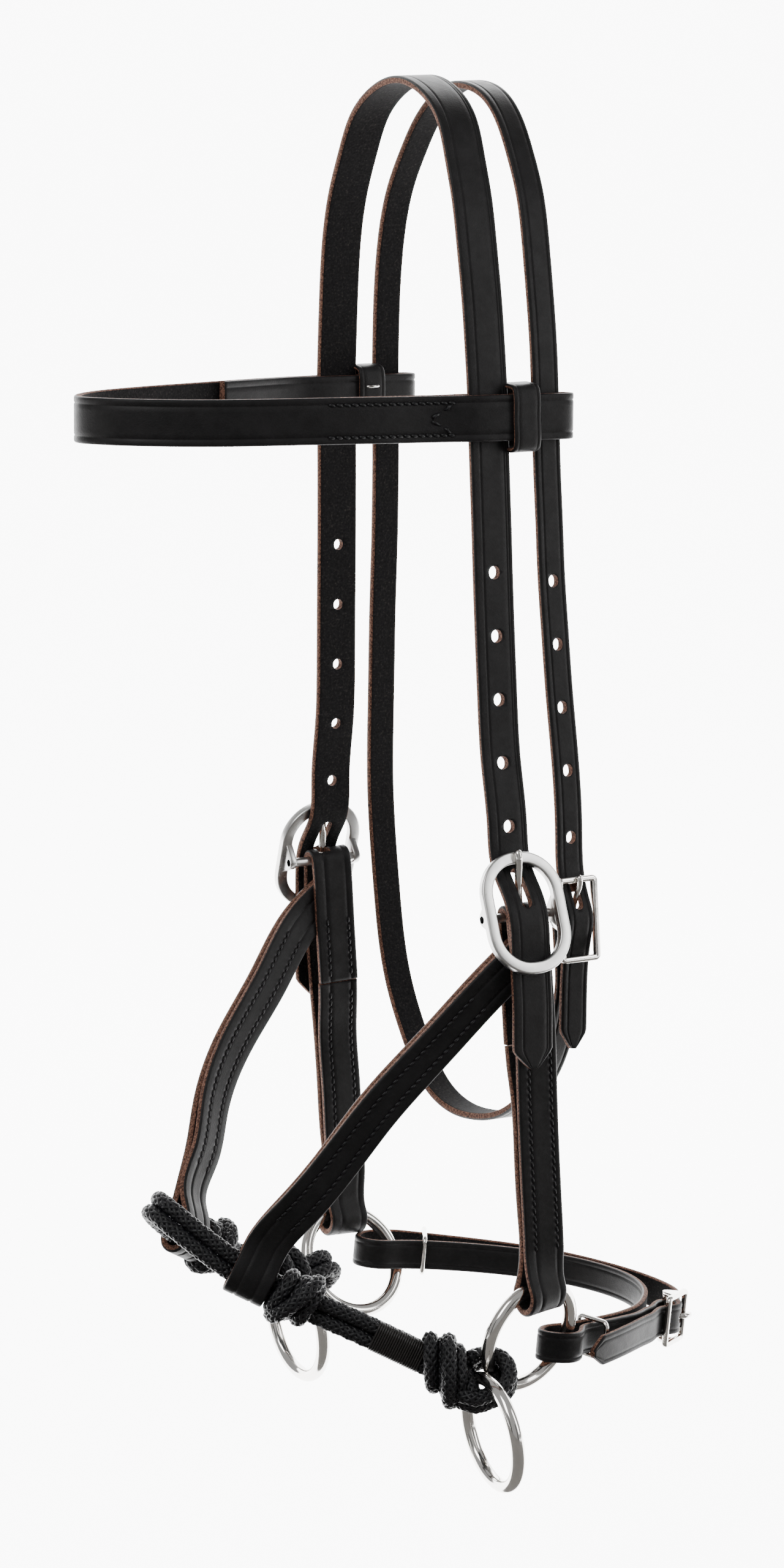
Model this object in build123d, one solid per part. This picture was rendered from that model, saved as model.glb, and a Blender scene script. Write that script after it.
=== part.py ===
from build123d import *
import os
from math import cos, radians, sin, tan

# Bitless hackamore (side-pull bridle), as worn: the crown hangs over the poll, the browband crosses
# the forehead, the rope noseband crosses the nose and the curb strap closes under the jaw.
# Millimetres. Origin at the poll seat, the underside of the crown strap's top.
# +X to the horse's rear, +Y to its far side, +Z up.

NEAR, FAR = -1, 1
SIDES = {"near": NEAR, "far": FAR}

# Leather
LEATHER = 3.1
CROWN_WIDTH = 17.0
THROAT_WIDTH = 11.6
BROW_WIDTH = 18.5
CHEEK_WIDTH = 18.0
NOSE_WIDTH = 17.5
CURB_WIDTH, CURB_LEATHER = 12.7, 2.6
HOLE_PITCH, HOLE_COUNT = 25.4, 5
HOLE_LENGTH, HOLE_WIDTH = 6.4, 4.8
TIP_LENGTH = 8.0
SLIP = 0.4                       # gap left round a strap that slides

# Where the straps hang
CROWN_X = -0.4
THROAT_X = 25.6
THROAT_YAW = 0.03                # the throatlatch runs this much rearwards per unit to the near side
FIRST_HOLE_Z = -194.5
BROW_Z = -131.7
BROW_SLOPE = 0.025               # the browband rises this much per unit towards its front

# Cheek buckle: oval frame with a centre bar set back on lugs
BUCKLE_Y, BUCKLE_Z = 87.7, -329.2
BUCKLE_TILT = 20.0               # its lower end leans outwards
BUCKLE_WIDTH, BUCKLE_LENGTH = 37.3, 50.0
BUCKLE_RAIL, BUCKLE_DEPTH = 4.8, 3.8
BAR_RADIUS = 1.9
BAR_BACK = 6.0                   # the bar's distance behind the frame's middle plane
PIN_FIT = 0.06                   # radial clearance of a tongue's eye on its bar
EYE_WALL = 1.4
EYE_WIDTH = 4.0

# Throat buckle and curb buckle: square frames with a set-back centre bar
THROAT_BUCKLE_Y, THROAT_BUCKLE_Z = -81.5, -335.5
CURB_BUCKLE_TURN = 36.0

# Rings
RING_RADIUS = 22.6               # to the middle of the wire
WIRE_RADIUS = 2.8
CHEEK_RING_X, CHEEK_RING_Y, CHEEK_RING_Z = 6.3, 75.3, -506.9
CHEEK_RING_YAW = {"near": 13.4, "far": -7.8}
CHEEK_RING_LEAN = {"near": 16.2, "far": 27.8}

# Rope noseband: two strands, one above the other
ROPE_RADIUS = 3.175
STRAND_STEP = 6.6                # between the strands' middles
STRAND_DIR = Vector(0.66, 0, 0.75)
KNOT_AT = {"near": Vector(-33.5, -72.8, -515.5), "far": Vector(-40.1, 67.3, -508.4)}
WRAP_AT = {"near": Vector(-97.5, -30, -478), "far": Vector(-96, 30, -473)}
NOSE_TIP_AT = {"near": Vector(-120, -11, -456), "far": Vector(-119, 12, -453.5)}
# Rope bight through each pair of rings: middle of its eye, the way the rings' wires cross it,
# and half the eye's height
BIGHT_AT = {"near": Vector(-14.2, -76.3, -521.5), "far": Vector(-15.4, 71.3, -510.6)}
BIGHT_ACROSS = {"near": Vector(0.394, 0.636, -0.663), "far": Vector(0.288, -0.676, -0.679)}
BIGHT_EYE = {"near": 6.7, "far": 6.7}
REIN_RING_AT = {"near": Vector(-16.0, -83.0, -542.8), "far": Vector(-19.8, 77.1, -532.1)}
WHIPPING_LENGTH = 22.0
REIN_RING_FACE = {"near": Vector(-0.989, 0.071, -0.128), "far": Vector(-0.99, 0, -0.1)}


def save(node, shape):
    shape.label = node
    export_step(shape, f"parts/{node}.step")


def band_face(middle, start, end, thickness, samples=36):
    """Flat face of even thickness along one stretch of a middle curve."""
    left, right = [], []
    for i in range(samples + 1):
        share = start + (end - start) * i / samples
        spot, heading = middle @ share, middle % share
        sideways = Vector(-heading.Y, heading.X) * (thickness / 2)
        left.append(spot + sideways)
        right.append(spot - sideways)
    right.reverse()
    return make_face([Spline(*left), Line(left[-1], right[0]), Spline(*right), Line(right[-1], left[0])])


def smooth_band(points, thickness):
    return band_face(Spline(*points), 0, 1, thickness)


def strap(plane, points, width, stretches=1, thickness=LEATHER):
    """Strap lying on edge in the plane: the points are its middle line, the width is across."""
    middle, pieces = Spline(*points), []
    for i in range(stretches):
        face = band_face(middle, i / stretches, (i + 1) / stretches, thickness)
        pieces.append(extrude(plane * face, amount=width / 2, both=True))
    return pieces[0].fuse(*pieces[1:]) if stretches > 1 else pieces[0]


def mirrored(points):
    return [(-y, z) for y, z in reversed(points) if y > 0.01] + list(points)


def oblong_hole(middle, outwards, along, length=HOLE_LENGTH, width=HOLE_WIDTH, depth=9.0):
    plane = Plane(origin=middle, x_dir=along, z_dir=outwards)
    return extrude(plane * SlotOverall(length, width), amount=depth / 2, both=True)


def tip_cutter(middle, outwards, along, width):
    """Everything beyond a pointed strap end; along points off the end."""
    plane = Plane(origin=middle, x_dir=along, z_dir=outwards)
    half, flat = width / 2 + 1, width * 0.12
    past, aside = 2, half + 2
    waste = Polyline((-TIP_LENGTH, half), (0, flat), (0, -flat), (-TIP_LENGTH, -half), (-TIP_LENGTH, -aside),
                     (past, -aside), (past, aside), (-TIP_LENGTH, aside), close=True)
    return extrude(plane * make_face(waste), amount=2.4, both=True)


def ring(middle, face):
    plane = Plane(origin=middle, z_dir=face)
    return plane * Torus(RING_RADIUS, WIRE_RADIUS)


def cheek_ring_face(name):
    """Outward normal of a cheek ring."""
    side, yaw, lean = SIDES[name], radians(CHEEK_RING_YAW[name]), radians(CHEEK_RING_LEAN[name])
    return Vector(sin(yaw) * cos(lean), side * cos(yaw) * cos(lean), -sin(lean))


def buckle_plane(side):
    """Cheek buckle's own frame: x across, y up along its length, z outwards."""
    tilt = radians(BUCKLE_TILT)
    outwards = Vector(0, side * cos(tilt), sin(tilt))
    upwards = Vector(0, -side * sin(tilt), cos(tilt))
    return Plane(origin=(CROWN_X, side * BUCKLE_Y, BUCKLE_Z), x_dir=upwards.cross(outwards), z_dir=outwards)


def on_buckle(down, out):
    """Point of the far buckle's middle plane as (y, z)."""
    tilt = radians(BUCKLE_TILT)
    return (BUCKLE_Y + down * sin(tilt) + out * cos(tilt), BUCKLE_Z - down * cos(tilt) + out * sin(tilt))


# ---------------------------------------------------------------- straps over the poll
CROWN_MID = LEATHER / 2
CROWN_ARCH = [(0, CROWN_MID), (19, -2.4), (36.4, -14.7), (44.3, -29.5), (50.8, -44.5), (56.2, -64.5),
              (60.2, -86), (62.6, -110), (63.3, -132), (64.0, -155), (65.0, -190), (67.7, -244),
              (69.8, -269.5), (74.3, -295)]
CROWN_TAIL = [on_buckle(-20.5, -4.0), on_buckle(-8, -0.2), on_buckle(0, 1.5), on_buckle(9, 0.2),
              on_buckle(21, -4.1), (92.2, -366), (91.3, -392.5)]
THROAT_ARCH = [(0, -1.2), (20, -5.4), (34, -16.5), (43.4, -29.5), (51.9, -44.5), (57.9, -64.5),
               (61.6, -88), (63.8, -110), (64.4, -132), (65.0, -155), (67.0, -194.5), (70.9, -244.5)]
THROAT_LOOP = [(72.6, -275), (73.4, -305), (70.0, -344), (61.0, -382.8), (47.5, -407), (30.5, -423.3),
               (12.4, -429.8), (-5.5, -430.0), (-26.0, -425.6), (-46.0, -414), (-61.0, -397),
               (-70.5, -378)]


def crown_point(index, side):
    """Middle of the crown strap at its numbered adjustment hole, with its heading down the leg."""
    z = FIRST_HOLE_Z - index * HOLE_PITCH
    leg = CROWN_ARCH + CROWN_TAIL[:1]
    for (y0, z0), (y1, z1) in zip(leg, leg[1:]):
        if z1 <= z <= z0:
            y = y0 + (y1 - y0) * (z - z0) / (z1 - z0)
            return Vector(CROWN_X, side * y, z), Vector(0, side * (y1 - y0), z1 - z0).normalized()
    raise ValueError("hole is off the leg")


def crown_strap():
    body = strap(Plane.YZ.offset(CROWN_X), mirrored(CROWN_ARCH + CROWN_TAIL), CROWN_WIDTH, 8)
    tip_y, tip_z = CROWN_TAIL[-1]
    for side in SIDES.values():
        for index in range(HOLE_COUNT):
            spot, along = crown_point(index, side)
            body -= oblong_hole(spot, Vector(0, side, 0), along)
        frame = buckle_plane(side)
        body -= oblong_hole(frame.from_local_coords(Vector(0, 10, -1)), frame.z_dir, frame.y_dir, 18)
        body -= tip_cutter(Vector(CROWN_X, side * tip_y, tip_z), Vector(0, side, 0), Vector(0, 0, -1),
                           CROWN_WIDTH)
    return body


def throat_plane():
    """Plane the throatlatch hangs in: x to the far side, y up, z rearwards."""
    return Plane(origin=(THROAT_X, 0, 0), x_dir=(-THROAT_YAW, 1, 0), z_dir=(1, THROAT_YAW, 0))


def throat_buckle_plane():
    """Throat buckle's own frame: x across, y up, z outwards (near side)."""
    lean = radians(4)
    hang = throat_plane()
    outwards = hang.x_dir * -cos(lean) + Vector(0, 0, sin(lean))
    upwards = hang.x_dir * sin(lean) + Vector(0, 0, cos(lean))
    middle = hang.from_local_coords(Vector(THROAT_BUCKLE_Y, THROAT_BUCKLE_Z))
    return Plane(origin=middle, x_dir=upwards.cross(outwards), z_dir=outwards)


def throatlatch_strap():
    frame, hang = throat_buckle_plane(), throat_plane()

    def at(up, out):
        spot = hang.to_local_coords(frame.from_local_coords(Vector(0, up, out)))
        return (spot.X, spot.Y)

    near_leg = [(-y, z) for y, z in reversed(THROAT_ARCH) if y > 0]
    tail = [at(-54, -5.4), at(-30, -5.3), at(-15.5, -3.7), at(-6, -0.6), at(0, 0.9), at(6, -0.6), at(15.5,
                                                                                                     -3.7),
            (-75.5, -300)]
    body = strap(hang, tail + near_leg + THROAT_ARCH + THROAT_LOOP + [at(-27, -9.6)], THROAT_WIDTH, 9)
    around_bar = Plane(origin=frame.from_local_coords(Vector(0, 0, -BAR_BACK)), z_dir=frame.x_dir)
    body += extrude(around_bar * Circle(SMALL_BAR + 0.1 + LEATHER), amount=THROAT_WIDTH / 2, both=True)
    body += frame * Pos(0, -15, -8.9) * Box(THROAT_WIDTH, 26, LEATHER)
    body -= extrude(around_bar * Circle(SMALL_BAR + 0.1), amount=THROAT_WIDTH, both=True)
    body -= frame * Pos(0, 2, -5.3) * Box(EYE_WIDTH + 1.4, 14, 9.4)
    body -= oblong_hole(frame.from_local_coords(Vector(0, 10, -1)), frame.z_dir, frame.y_dir, 13, 4.2)
    for index in range(HOLE_COUNT):
        z = FIRST_HOLE_Z - 4.5 - index * HOLE_PITCH
        middle = hang.from_local_coords(Vector(-67.0 - (FIRST_HOLE_Z - z) * 0.078, z))
        body -= oblong_hole(middle, hang.x_dir, Vector(0, 0, -1))
    end = frame.from_local_coords(Vector(0, -54, -5.4))
    body -= tip_cutter(end, frame.z_dir, -frame.y_dir, THROAT_WIDTH)
    return body


# ---------------------------------------------------------------- browband and its keepers
BROW_OUTER = [(26, 68.8), (8, 68.5), (-8, 67.5), (-20, 64.4), (-45, 59), (-75, 51.5), (-113, 38),
              (-139, 24), (-151, 10.5), (-154.5, 0)]
BROW_FOLD = [(-61, 51.2), (-45, 55.0), (-20, 60.0), (-8, 59.0), (8, 59.3), (22, 60.3)]
BROW_SWAY = -9.0                 # the browband's front hangs this much towards the near side
BROW_TURN = [(20, 60.15), (28, 60.5), (34.8, 61.7), (36.8, 64.8), (34.6, 67.9), (28, 68.9), (20, 68.7)]
KEEPER_X = (8.4, 17.8)
KEEPER_LEATHER = 2.0
KEEPER_INNER, KEEPER_OUTER = 57.2, 70.1
KEEPER_HALF_HEIGHT = 11.6


def brow_plane():
    return Plane(origin=(0, 0, BROW_Z), x_dir=(1, 0, -BROW_SLOPE), z_dir=(BROW_SLOPE, 0, 1))


def brow_outline(side, points):
    """One side's outline of the browband, swayed more the further forward it is."""
    return [(x, side * y + BROW_SWAY * min(max((-x - 20) / 90, 0), 1)) for x, y in points]


def browband_strap():
    """One strap; each end turns inwards behind the crown and throat legs and is stitched to itself."""
    across = brow_outline(-1, BROW_OUTER[:-1]) + brow_outline(1, BROW_OUTER[::-1])
    body = strap(brow_plane(), across, BROW_WIDTH, 4)
    for side in SIDES.values():
        for piece in (BROW_FOLD, BROW_TURN):
            body += strap(brow_plane(), brow_outline(side, piece), BROW_WIDTH)
    return body


def browband_keeper(side):
    """Leather loop round the browband, between the crown leg and the throat leg."""
    middle_y = (KEEPER_INNER + KEEPER_OUTER) / 2
    half = (KEEPER_OUTER - KEEPER_INNER) / 2
    front, rear = KEEPER_X
    middle = Vector((front + rear) / 2, side * middle_y, BROW_Z - BROW_SLOPE * (front + rear) / 2)
    plane = Plane(origin=middle, x_dir=(0, 1, 0), z_dir=(1, 0, 0))
    outer = RectangleRounded(2 * (half + KEEPER_LEATHER), 2 * (KEEPER_HALF_HEIGHT + KEEPER_LEATHER), 3.2)
    inner = RectangleRounded(2 * half, 2 * KEEPER_HALF_HEIGHT, 1.2)
    return extrude(plane * (outer - inner), amount=(rear - front) / 2, both=True)


def keeper_staple(side):
    """Wire staple that closes a browband keeper, on its inner face."""
    front, rear = KEEPER_X
    middle = Vector((front + rear) / 2, side * (KEEPER_INNER - KEEPER_LEATHER - 0.6), BROW_Z + 2)
    return Plane(origin=middle, z_dir=(1, 0, 0)) * Cylinder(0.6, 5.0)


# ---------------------------------------------------------------- buckles
def oval_frame():
    outer = RectangleRounded(BUCKLE_WIDTH, BUCKLE_LENGTH, 17.5)
    inner = RectangleRounded(BUCKLE_WIDTH - 2 * BUCKLE_RAIL, BUCKLE_LENGTH - 2 * BUCKLE_RAIL, 12.8)
    frame = extrude(outer - inner, amount=BUCKLE_DEPTH / 2, both=True)
    return fillet(frame.edges(), 0.9)


def square_frame(width, length, rail, depth):
    outer = RectangleRounded(width, length, 2.2)
    inner = RectangleRounded(width - 2 * rail, length - 2 * rail, 0.9)
    frame = extrude(outer - inner, amount=depth / 2, both=True)
    return fillet(frame.edges(), 0.6)


def bar_and_lugs(inner_width, rail, bar_radius, back, lug_half):
    """Centre bar across x, carried behind the frame by a three-cornered lug on each side rail."""
    bar = Rotation(0, 90, 0) * Cylinder(bar_radius, inner_width + rail)
    bar = Pos(0, 0, -back) * bar
    lug_thickness = rail * 0.62
    outline = make_face(Polyline((-lug_half, -0.4), (lug_half, -0.4), (bar_radius, -back - bar_radius * 0.8),
                                 (-bar_radius, -back - bar_radius * 0.8), close=True))
    lug = extrude(Plane.YZ * outline, amount=lug_thickness / 2, both=True)
    shift = inner_width / 2 + rail * 0.5
    return bar + Pos(shift, 0, 0) * lug + Pos(-shift, 0, 0) * lug


def buckle_tongue(bar_radius, back, reach, rim_top, radius):
    """Tongue hinged on the bar, its tip lying on the upper rail."""
    eye_outer = bar_radius + PIN_FIT + EYE_WALL
    eye = Rotation(0, 90, 0) * Cylinder(eye_outer, EYE_WIDTH)
    rest = rim_top + radius + 0.1
    path = FilletPolyline((0, 1.2, -back), (0, reach - 4.6, rest), (0, reach + 0.8, rest), radius=6)
    shaft = sweep(Plane(origin=path @ 0, z_dir=path % 0) * Circle(radius), path=path)
    tongue = Pos(0, 0, -back) * eye + shaft
    return tongue - Pos(0, 0, -back) * (Rotation(0, 90, 0) * Cylinder(bar_radius + PIN_FIT, 3 * EYE_WIDTH))


def cheek_buckle():
    inner_width = BUCKLE_WIDTH - 2 * BUCKLE_RAIL
    return oval_frame() + bar_and_lugs(inner_width, BUCKLE_RAIL, BAR_RADIUS, BAR_BACK, 7.5)


SMALL_BAR = 1.5
SMALL_BACK = 5.0
THROAT_FRAME = (19.2, 35.0, 2.6, 3.0)    # width, length, rail, depth
CURB_FRAME = (22.4, 20.6, 2.3, 2.4)


def small_buckle(size, back):
    width, length, rail, depth = size
    return square_frame(*size) + bar_and_lugs(width - 2 * rail, rail, SMALL_BAR, back, 5.0)


# ---------------------------------------------------------------- cheeks
CHEEK_LEAN = 0.047               # the cheek runs this much rearwards per unit down
CHEEK_X_TOP = 1.0
RING_EYE = {"near": (82.5, -487.4), "far": (85.8, -488.9)}    # middle of the fold round the cheek ring
EYE_RADIUS = 5.6
CHEEK_SPLIT_Z = -476.0


def cheek_strap(name):
    """Doubled strap: folded round the buckle's bar at the top and round the cheek ring below."""
    bar_y, bar_z = on_buckle(0, -BAR_BACK)
    bar_hole = BAR_RADIUS + 0.5
    outer_ply = smooth_band([(bar_y + 3.6, bar_z + 0.6), (87.0, -343), (87.5, -354), (88.0, -372),
                             (86.6, -405), (85.4, -440), (84.9, CHEEK_SPLIT_Z - 3)], LEATHER)
    inner_ply = smooth_band([(bar_y - 3.7, bar_z + 0.4), (78.2, -343), (78.4, -354), (79.2, -372),
                             (81.8, -392), (82.2, -440), (81.7, CHEEK_SPLIT_Z - 3)], LEATHER)
    upper = outer_ply + inner_ply + Pos(bar_y, bar_z) * Circle(BAR_RADIUS + 0.15 + LEATHER)
    upper -= Pos(bar_y, bar_z) * Circle(bar_hole)
    upper -= Pos(bar_y + 0.2, bar_z - 9) * Rectangle(2 * BAR_RADIUS - 0.6, 15)
    plane = Plane(origin=(CHEEK_X_TOP, 0, bar_z), x_dir=(0, 1, 0), z_dir=(1, 0, CHEEK_LEAN))
    body = extrude(plane * (Pos(0, -bar_z) * upper), amount=CHEEK_WIDTH / 2, both=True)
    body -= Pos(CHEEK_X_TOP - 1.4, bar_y + 1.0, bar_z + 1.5) * Box(EYE_WIDTH + 2, 14, 13)

    eye_y, eye_z = RING_EYE[name]
    eye_x = CHEEK_X_TOP + CHEEK_LEAN * (bar_z - eye_z)
    face = cheek_ring_face(name)
    wire = Vector(1, -face.X / abs(face.Y), 0).normalized()
    eye_y -= (eye_x - CHEEK_RING_X) * face.X / abs(face.Y)
    eye_plane = Plane(origin=(eye_x, eye_y, eye_z), x_dir=Vector(0, 0, 1).cross(wire), z_dir=wire)
    neck = Pos(83.3 - eye_y, 12.5) * Rectangle(6.4, 4)
    outer = make_hull((Circle(EYE_RADIUS + LEATHER) + neck).edges())
    hole = make_hull((Circle(EYE_RADIUS) + Pos(83.3 - eye_y, 8.5) * Circle(0.5)).edges())
    body += extrude(eye_plane * (outer - hole), amount=CHEEK_WIDTH / 2, both=True)
    return mirror(body, about=Plane.XZ) if SIDES[name] == NEAR else body


# ---------------------------------------------------------------- nose straps
NOSE_THICKNESS = 4.8
NOSE_ROUTE = [Vector(1.5, 82.6, -346), Vector(-14, 82.2, -361), Vector(-44, 71, -391),
              Vector(-71, 55.5, -427)]
WRAP_SLIP = 0.45


def rope_heading(name):
    """Direction of the noseband's side run, from the wrap towards the ring knot."""
    return (KNOT_AT[name] - WRAP_AT[name]).normalized()


def strand_offset(name):
    """From the middle of the noseband to its upper strand, square to the side run."""
    heading = rope_heading(name)
    square = (STRAND_DIR - heading * STRAND_DIR.dot(heading)).normalized()
    return square * (STRAND_STEP / 2)


def nose_strap(name):
    """Two-ply strap from between the cheek's plies down to a loop round both rope strands."""
    side = SIDES[name]
    heading, up = rope_heading(name), strand_offset(name).normalized()
    wrap = WRAP_AT[name]
    eye_half = STRAND_STEP / 2 + ROPE_RADIUS + WRAP_SLIP
    eye_plane = Plane(origin=wrap, x_dir=up, z_dir=heading)
    outer = SlotOverall(2 * (eye_half + LEATHER), 2 * (ROPE_RADIUS + WRAP_SLIP + LEATHER))
    hole = SlotOverall(2 * eye_half, 2 * (ROPE_RADIUS + WRAP_SLIP))

    end = wrap + up * (eye_half + LEATHER * 0.6)
    route = [Vector(p.X, side * p.Y, p.Z) for p in NOSE_ROUTE] + [end + up * 11, end]
    path = Spline(*route)
    first_width = Vector(0.66, 0, -0.75)
    sections = []
    steps = 8
    for i in range(steps + 1):
        share = i / steps
        along = path % share
        width_dir = first_width * (1 - share) + heading * share
        if i == steps:
            along, width_dir = -up, heading
        width_dir = (width_dir - along * width_dir.dot(along)).normalized()
        plane = Plane(origin=path @ share, x_dir=width_dir, z_dir=along)
        sections.append(plane * Rectangle(NOSE_WIDTH, NOSE_THICKNESS))
    body = loft(sections) + extrude(eye_plane * outer, amount=NOSE_WIDTH / 2, both=True)
    return body - extrude(eye_plane * hole, amount=NOSE_WIDTH, both=True)


# ---------------------------------------------------------------- rope noseband
def eased_path(points):
    """Straight runs joined by arcs as large as the shorter run beside each corner allows."""
    radii = []
    for before, corner, after in zip(points, points[1:], points[2:]):
        run_in, run_out = corner - before, after - corner
        half_turn = radians(run_in.get_angle(run_out)) / 2
        radii.append(min(60, 0.45 * min(run_in.length, run_out.length) / tan(half_turn)))
    return FilletPolyline(*points, radius=radii)


def tube(path, radius):
    return sweep(Plane(origin=path @ 0, z_dir=path % 0) * Circle(radius), path=path)


def noseband_strand(upper):
    """One of the noseband's two strands, from the near ring knot round the nose to the far one."""
    sign = 1 if upper else -1
    tip = STRAND_DIR.normalized() * (STRAND_STEP / 2 * sign)
    half = {}
    for name in SIDES:
        off = strand_offset(name) * sign
        past_wrap = WRAP_AT[name] - rope_heading(name) * (NOSE_WIDTH / 2 + 1.5)
        half[name] = [KNOT_AT[name] + rope_heading(name) * 4.5 + off, past_wrap + off,
                      NOSE_TIP_AT[name] + tip]
    return tube(eased_path(half["near"] + half["far"][::-1]), ROPE_RADIUS)


def bight_frame(name):
    """Plane of a rope bight: x back along the run from the knot, y up, z across the eye."""
    across = BIGHT_ACROSS[name].normalized()
    rearwards = (Vector(1, 0, 0) - across * across.X).normalized()
    return Plane(origin=BIGHT_AT[name], x_dir=rearwards, z_dir=across)


def ring_bight(name):
    """Doubled rope that leaves the ring knot, goes round both rings' wires and comes back."""
    frame = bight_frame(name)
    turn = BIGHT_EYE[name] + ROPE_RADIUS
    run = 21.0
    loops = []
    for across in (-ROPE_RADIUS - 0.12, ROPE_RADIUS + 0.12):
        line = Polyline((-run, turn), (0, turn)) + ThreePointArc((0, turn), (turn, 0), (0, -turn)) \
            + Line((0, -turn), (-run, -turn))
        path = (frame * Pos(0, 0, across)) * line
        wire = Wire(path.edges())
        loop = sweep(Plane(origin=wire @ 0, z_dir=wire % 0) * Circle(ROPE_RADIUS),
                     path=wire) - ring_knot(name)
        loops.append(loop.solids().sort_by(SortBy.VOLUME)[-1])
    return Compound(children=loops)


def knot_solid(frame, half, start):
    """Rounded knot in its frame, with both strands let into it along x from start."""
    knot = fillet(Box(2 * half[0], 2 * half[1], 2 * half[2]).edges(), min(half) * 0.8)
    for off in (-STRAND_STEP / 2, STRAND_STEP / 2):
        knot -= Pos(start - 30, 0, off) * Rotation(0, 90, 0) * Cylinder(ROPE_RADIUS + 0.05, 60)
    return frame * knot


def ring_knot(name):
    frame = Plane(origin=KNOT_AT[name], x_dir=rope_heading(name), z_dir=strand_offset(name))
    return knot_solid(frame, (9.5, 9.8, 14.0), 4.6)


def nose_knot(name):
    heading = rope_heading(name)
    middle = WRAP_AT[name] + heading * (NOSE_WIDTH / 2 + 10.2)
    frame = Plane(origin=middle, x_dir=heading, z_dir=strand_offset(name))
    return knot_solid(frame, (9.6, 9.2, 12.4), 30)


def whipping(name):
    """Thread binding round both strands, in front of the ring knot."""
    heading = rope_heading(name)
    middle = KNOT_AT[name] - heading * (12.3 + WHIPPING_LENGTH / 2)
    frame = Plane(origin=middle, x_dir=strand_offset(name), z_dir=heading)
    outer = SlotOverall(STRAND_STEP + 2 * ROPE_RADIUS + 1.0, 2 * ROPE_RADIUS + 1.0)
    inner = SlotOverall(STRAND_STEP + 2 * ROPE_RADIUS + 0.1, 2 * ROPE_RADIUS + 0.1)
    return extrude(frame * (outer - inner), amount=WHIPPING_LENGTH / 2, both=True)


# ---------------------------------------------------------------- curb strap
CURB_Z = -508.1
CURB_SLOPE, CURB_ROLL = 0.09, 0.064
CURB_BUCKLE = (97.0, -43.0)
CURB_ROUTE = [
    (90.0, -40.0), (85.4, -42.8), (79.4, -46.9), (72, -52.2), (62, -56.6), (52, -60.0), (43, -62.7),
    (37.4, -65.4), (33.9, -70.2), (29, -74.2), (21.5, -73.8), (16.1, -68.2), (20, -62.8), (30, -60.8),
    (44, -57.4), (60, -51.8), (76, -43.0), (88.5, -30.5), (97.5, -16), (101.3, 0), (98, 20), (86, 39.5),
    (66, 55), (48, 64.0), (36, 68.4), (26, 70.4), (17, 72.0), (11.7, 79.0), (17, 86.2), (26, 87.5),
    (34, 85.5), (42, 80.6), (52, 74.4), (66, 65.0), (85, 48.5), (99, 28), (107, 10), (110.8, -8),
    (108.6, -25), (102.4, -35.0), (97.4, -43.6), (88.0, -46.1), (80, -51.8), (72, -56.2), (62, -60.8),
    (52, -64.5), (40, -68.6)]


def curb_plane():
    return Plane(origin=(0, 0, CURB_Z), x_dir=(1, 0, -CURB_SLOPE),
                 z_dir=Vector(CURB_SLOPE, -CURB_ROLL, 1).normalized())


def curb_buckle_plane():
    """Curb buckle's own frame: x up across the strap, y rearwards along it, z outwards."""
    turn = radians(CURB_BUCKLE_TURN)
    along = Vector(cos(turn), sin(turn), 0)
    plane = curb_plane()
    origin = plane.from_local_coords(Vector(*CURB_BUCKLE))
    along = plane.from_local_coords(Vector(*CURB_BUCKLE) + along) - origin
    outwards = along.cross(plane.z_dir)
    return Plane(origin=origin, x_dir=along.cross(outwards), z_dir=outwards)


def curb_strap():
    body = strap(curb_plane(), CURB_ROUTE, CURB_WIDTH, 12, CURB_LEATHER)
    frame = curb_buckle_plane()
    bar = frame.from_local_coords(Vector(0, 0, -SMALL_BACK))
    around = Plane(origin=bar, z_dir=frame.x_dir)
    body += extrude(around * Circle(SMALL_BAR + 0.1 + CURB_LEATHER), amount=CURB_WIDTH / 2, both=True)
    body -= extrude(around * Circle(SMALL_BAR + 0.1), amount=CURB_WIDTH, both=True)
    body -= frame * Pos(0, 3, -4.6) * Box(EYE_WIDTH + 1.4, 15, 8.4)
    body -= oblong_hole(frame.from_local_coords(Vector(0, 6, -1)), frame.z_dir, frame.y_dir, 13, 4.2)
    end_x, end_y = CURB_ROUTE[-1]
    before_x, before_y = CURB_ROUTE[-2]
    plane = curb_plane()
    end = plane.from_local_coords(Vector(end_x, end_y))
    along = (end - plane.from_local_coords(Vector(before_x, before_y))).normalized()
    body -= tip_cutter(end, along.cross(plane.z_dir), along, CURB_WIDTH)
    return body


def wire_keeper(middle_xy, heading_degrees, inner_depth):
    """Wire loop round the curb strap's layers."""
    plane = curb_plane()
    turn = radians(heading_degrees)
    origin = plane.from_local_coords(Vector(*middle_xy))
    along = plane.from_local_coords(Vector(*middle_xy) + Vector(cos(turn), sin(turn))) - origin
    section = Plane(origin=origin, x_dir=plane.z_dir, z_dir=along)
    radius = 1.1
    half_w, half_d = CURB_WIDTH / 2 + SLIP + radius, inner_depth / 2 + radius
    outer = RectangleRounded(2 * (half_w + radius), 2 * (half_d + radius), 2.4 + radius)
    inner = RectangleRounded(2 * (half_w - radius), 2 * (half_d - radius), 2.4 - radius)
    loop = extrude(outer - inner, amount=radius, both=True)
    loop = fillet(loop.edges(), radius * 0.8)
    return section * loop


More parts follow.
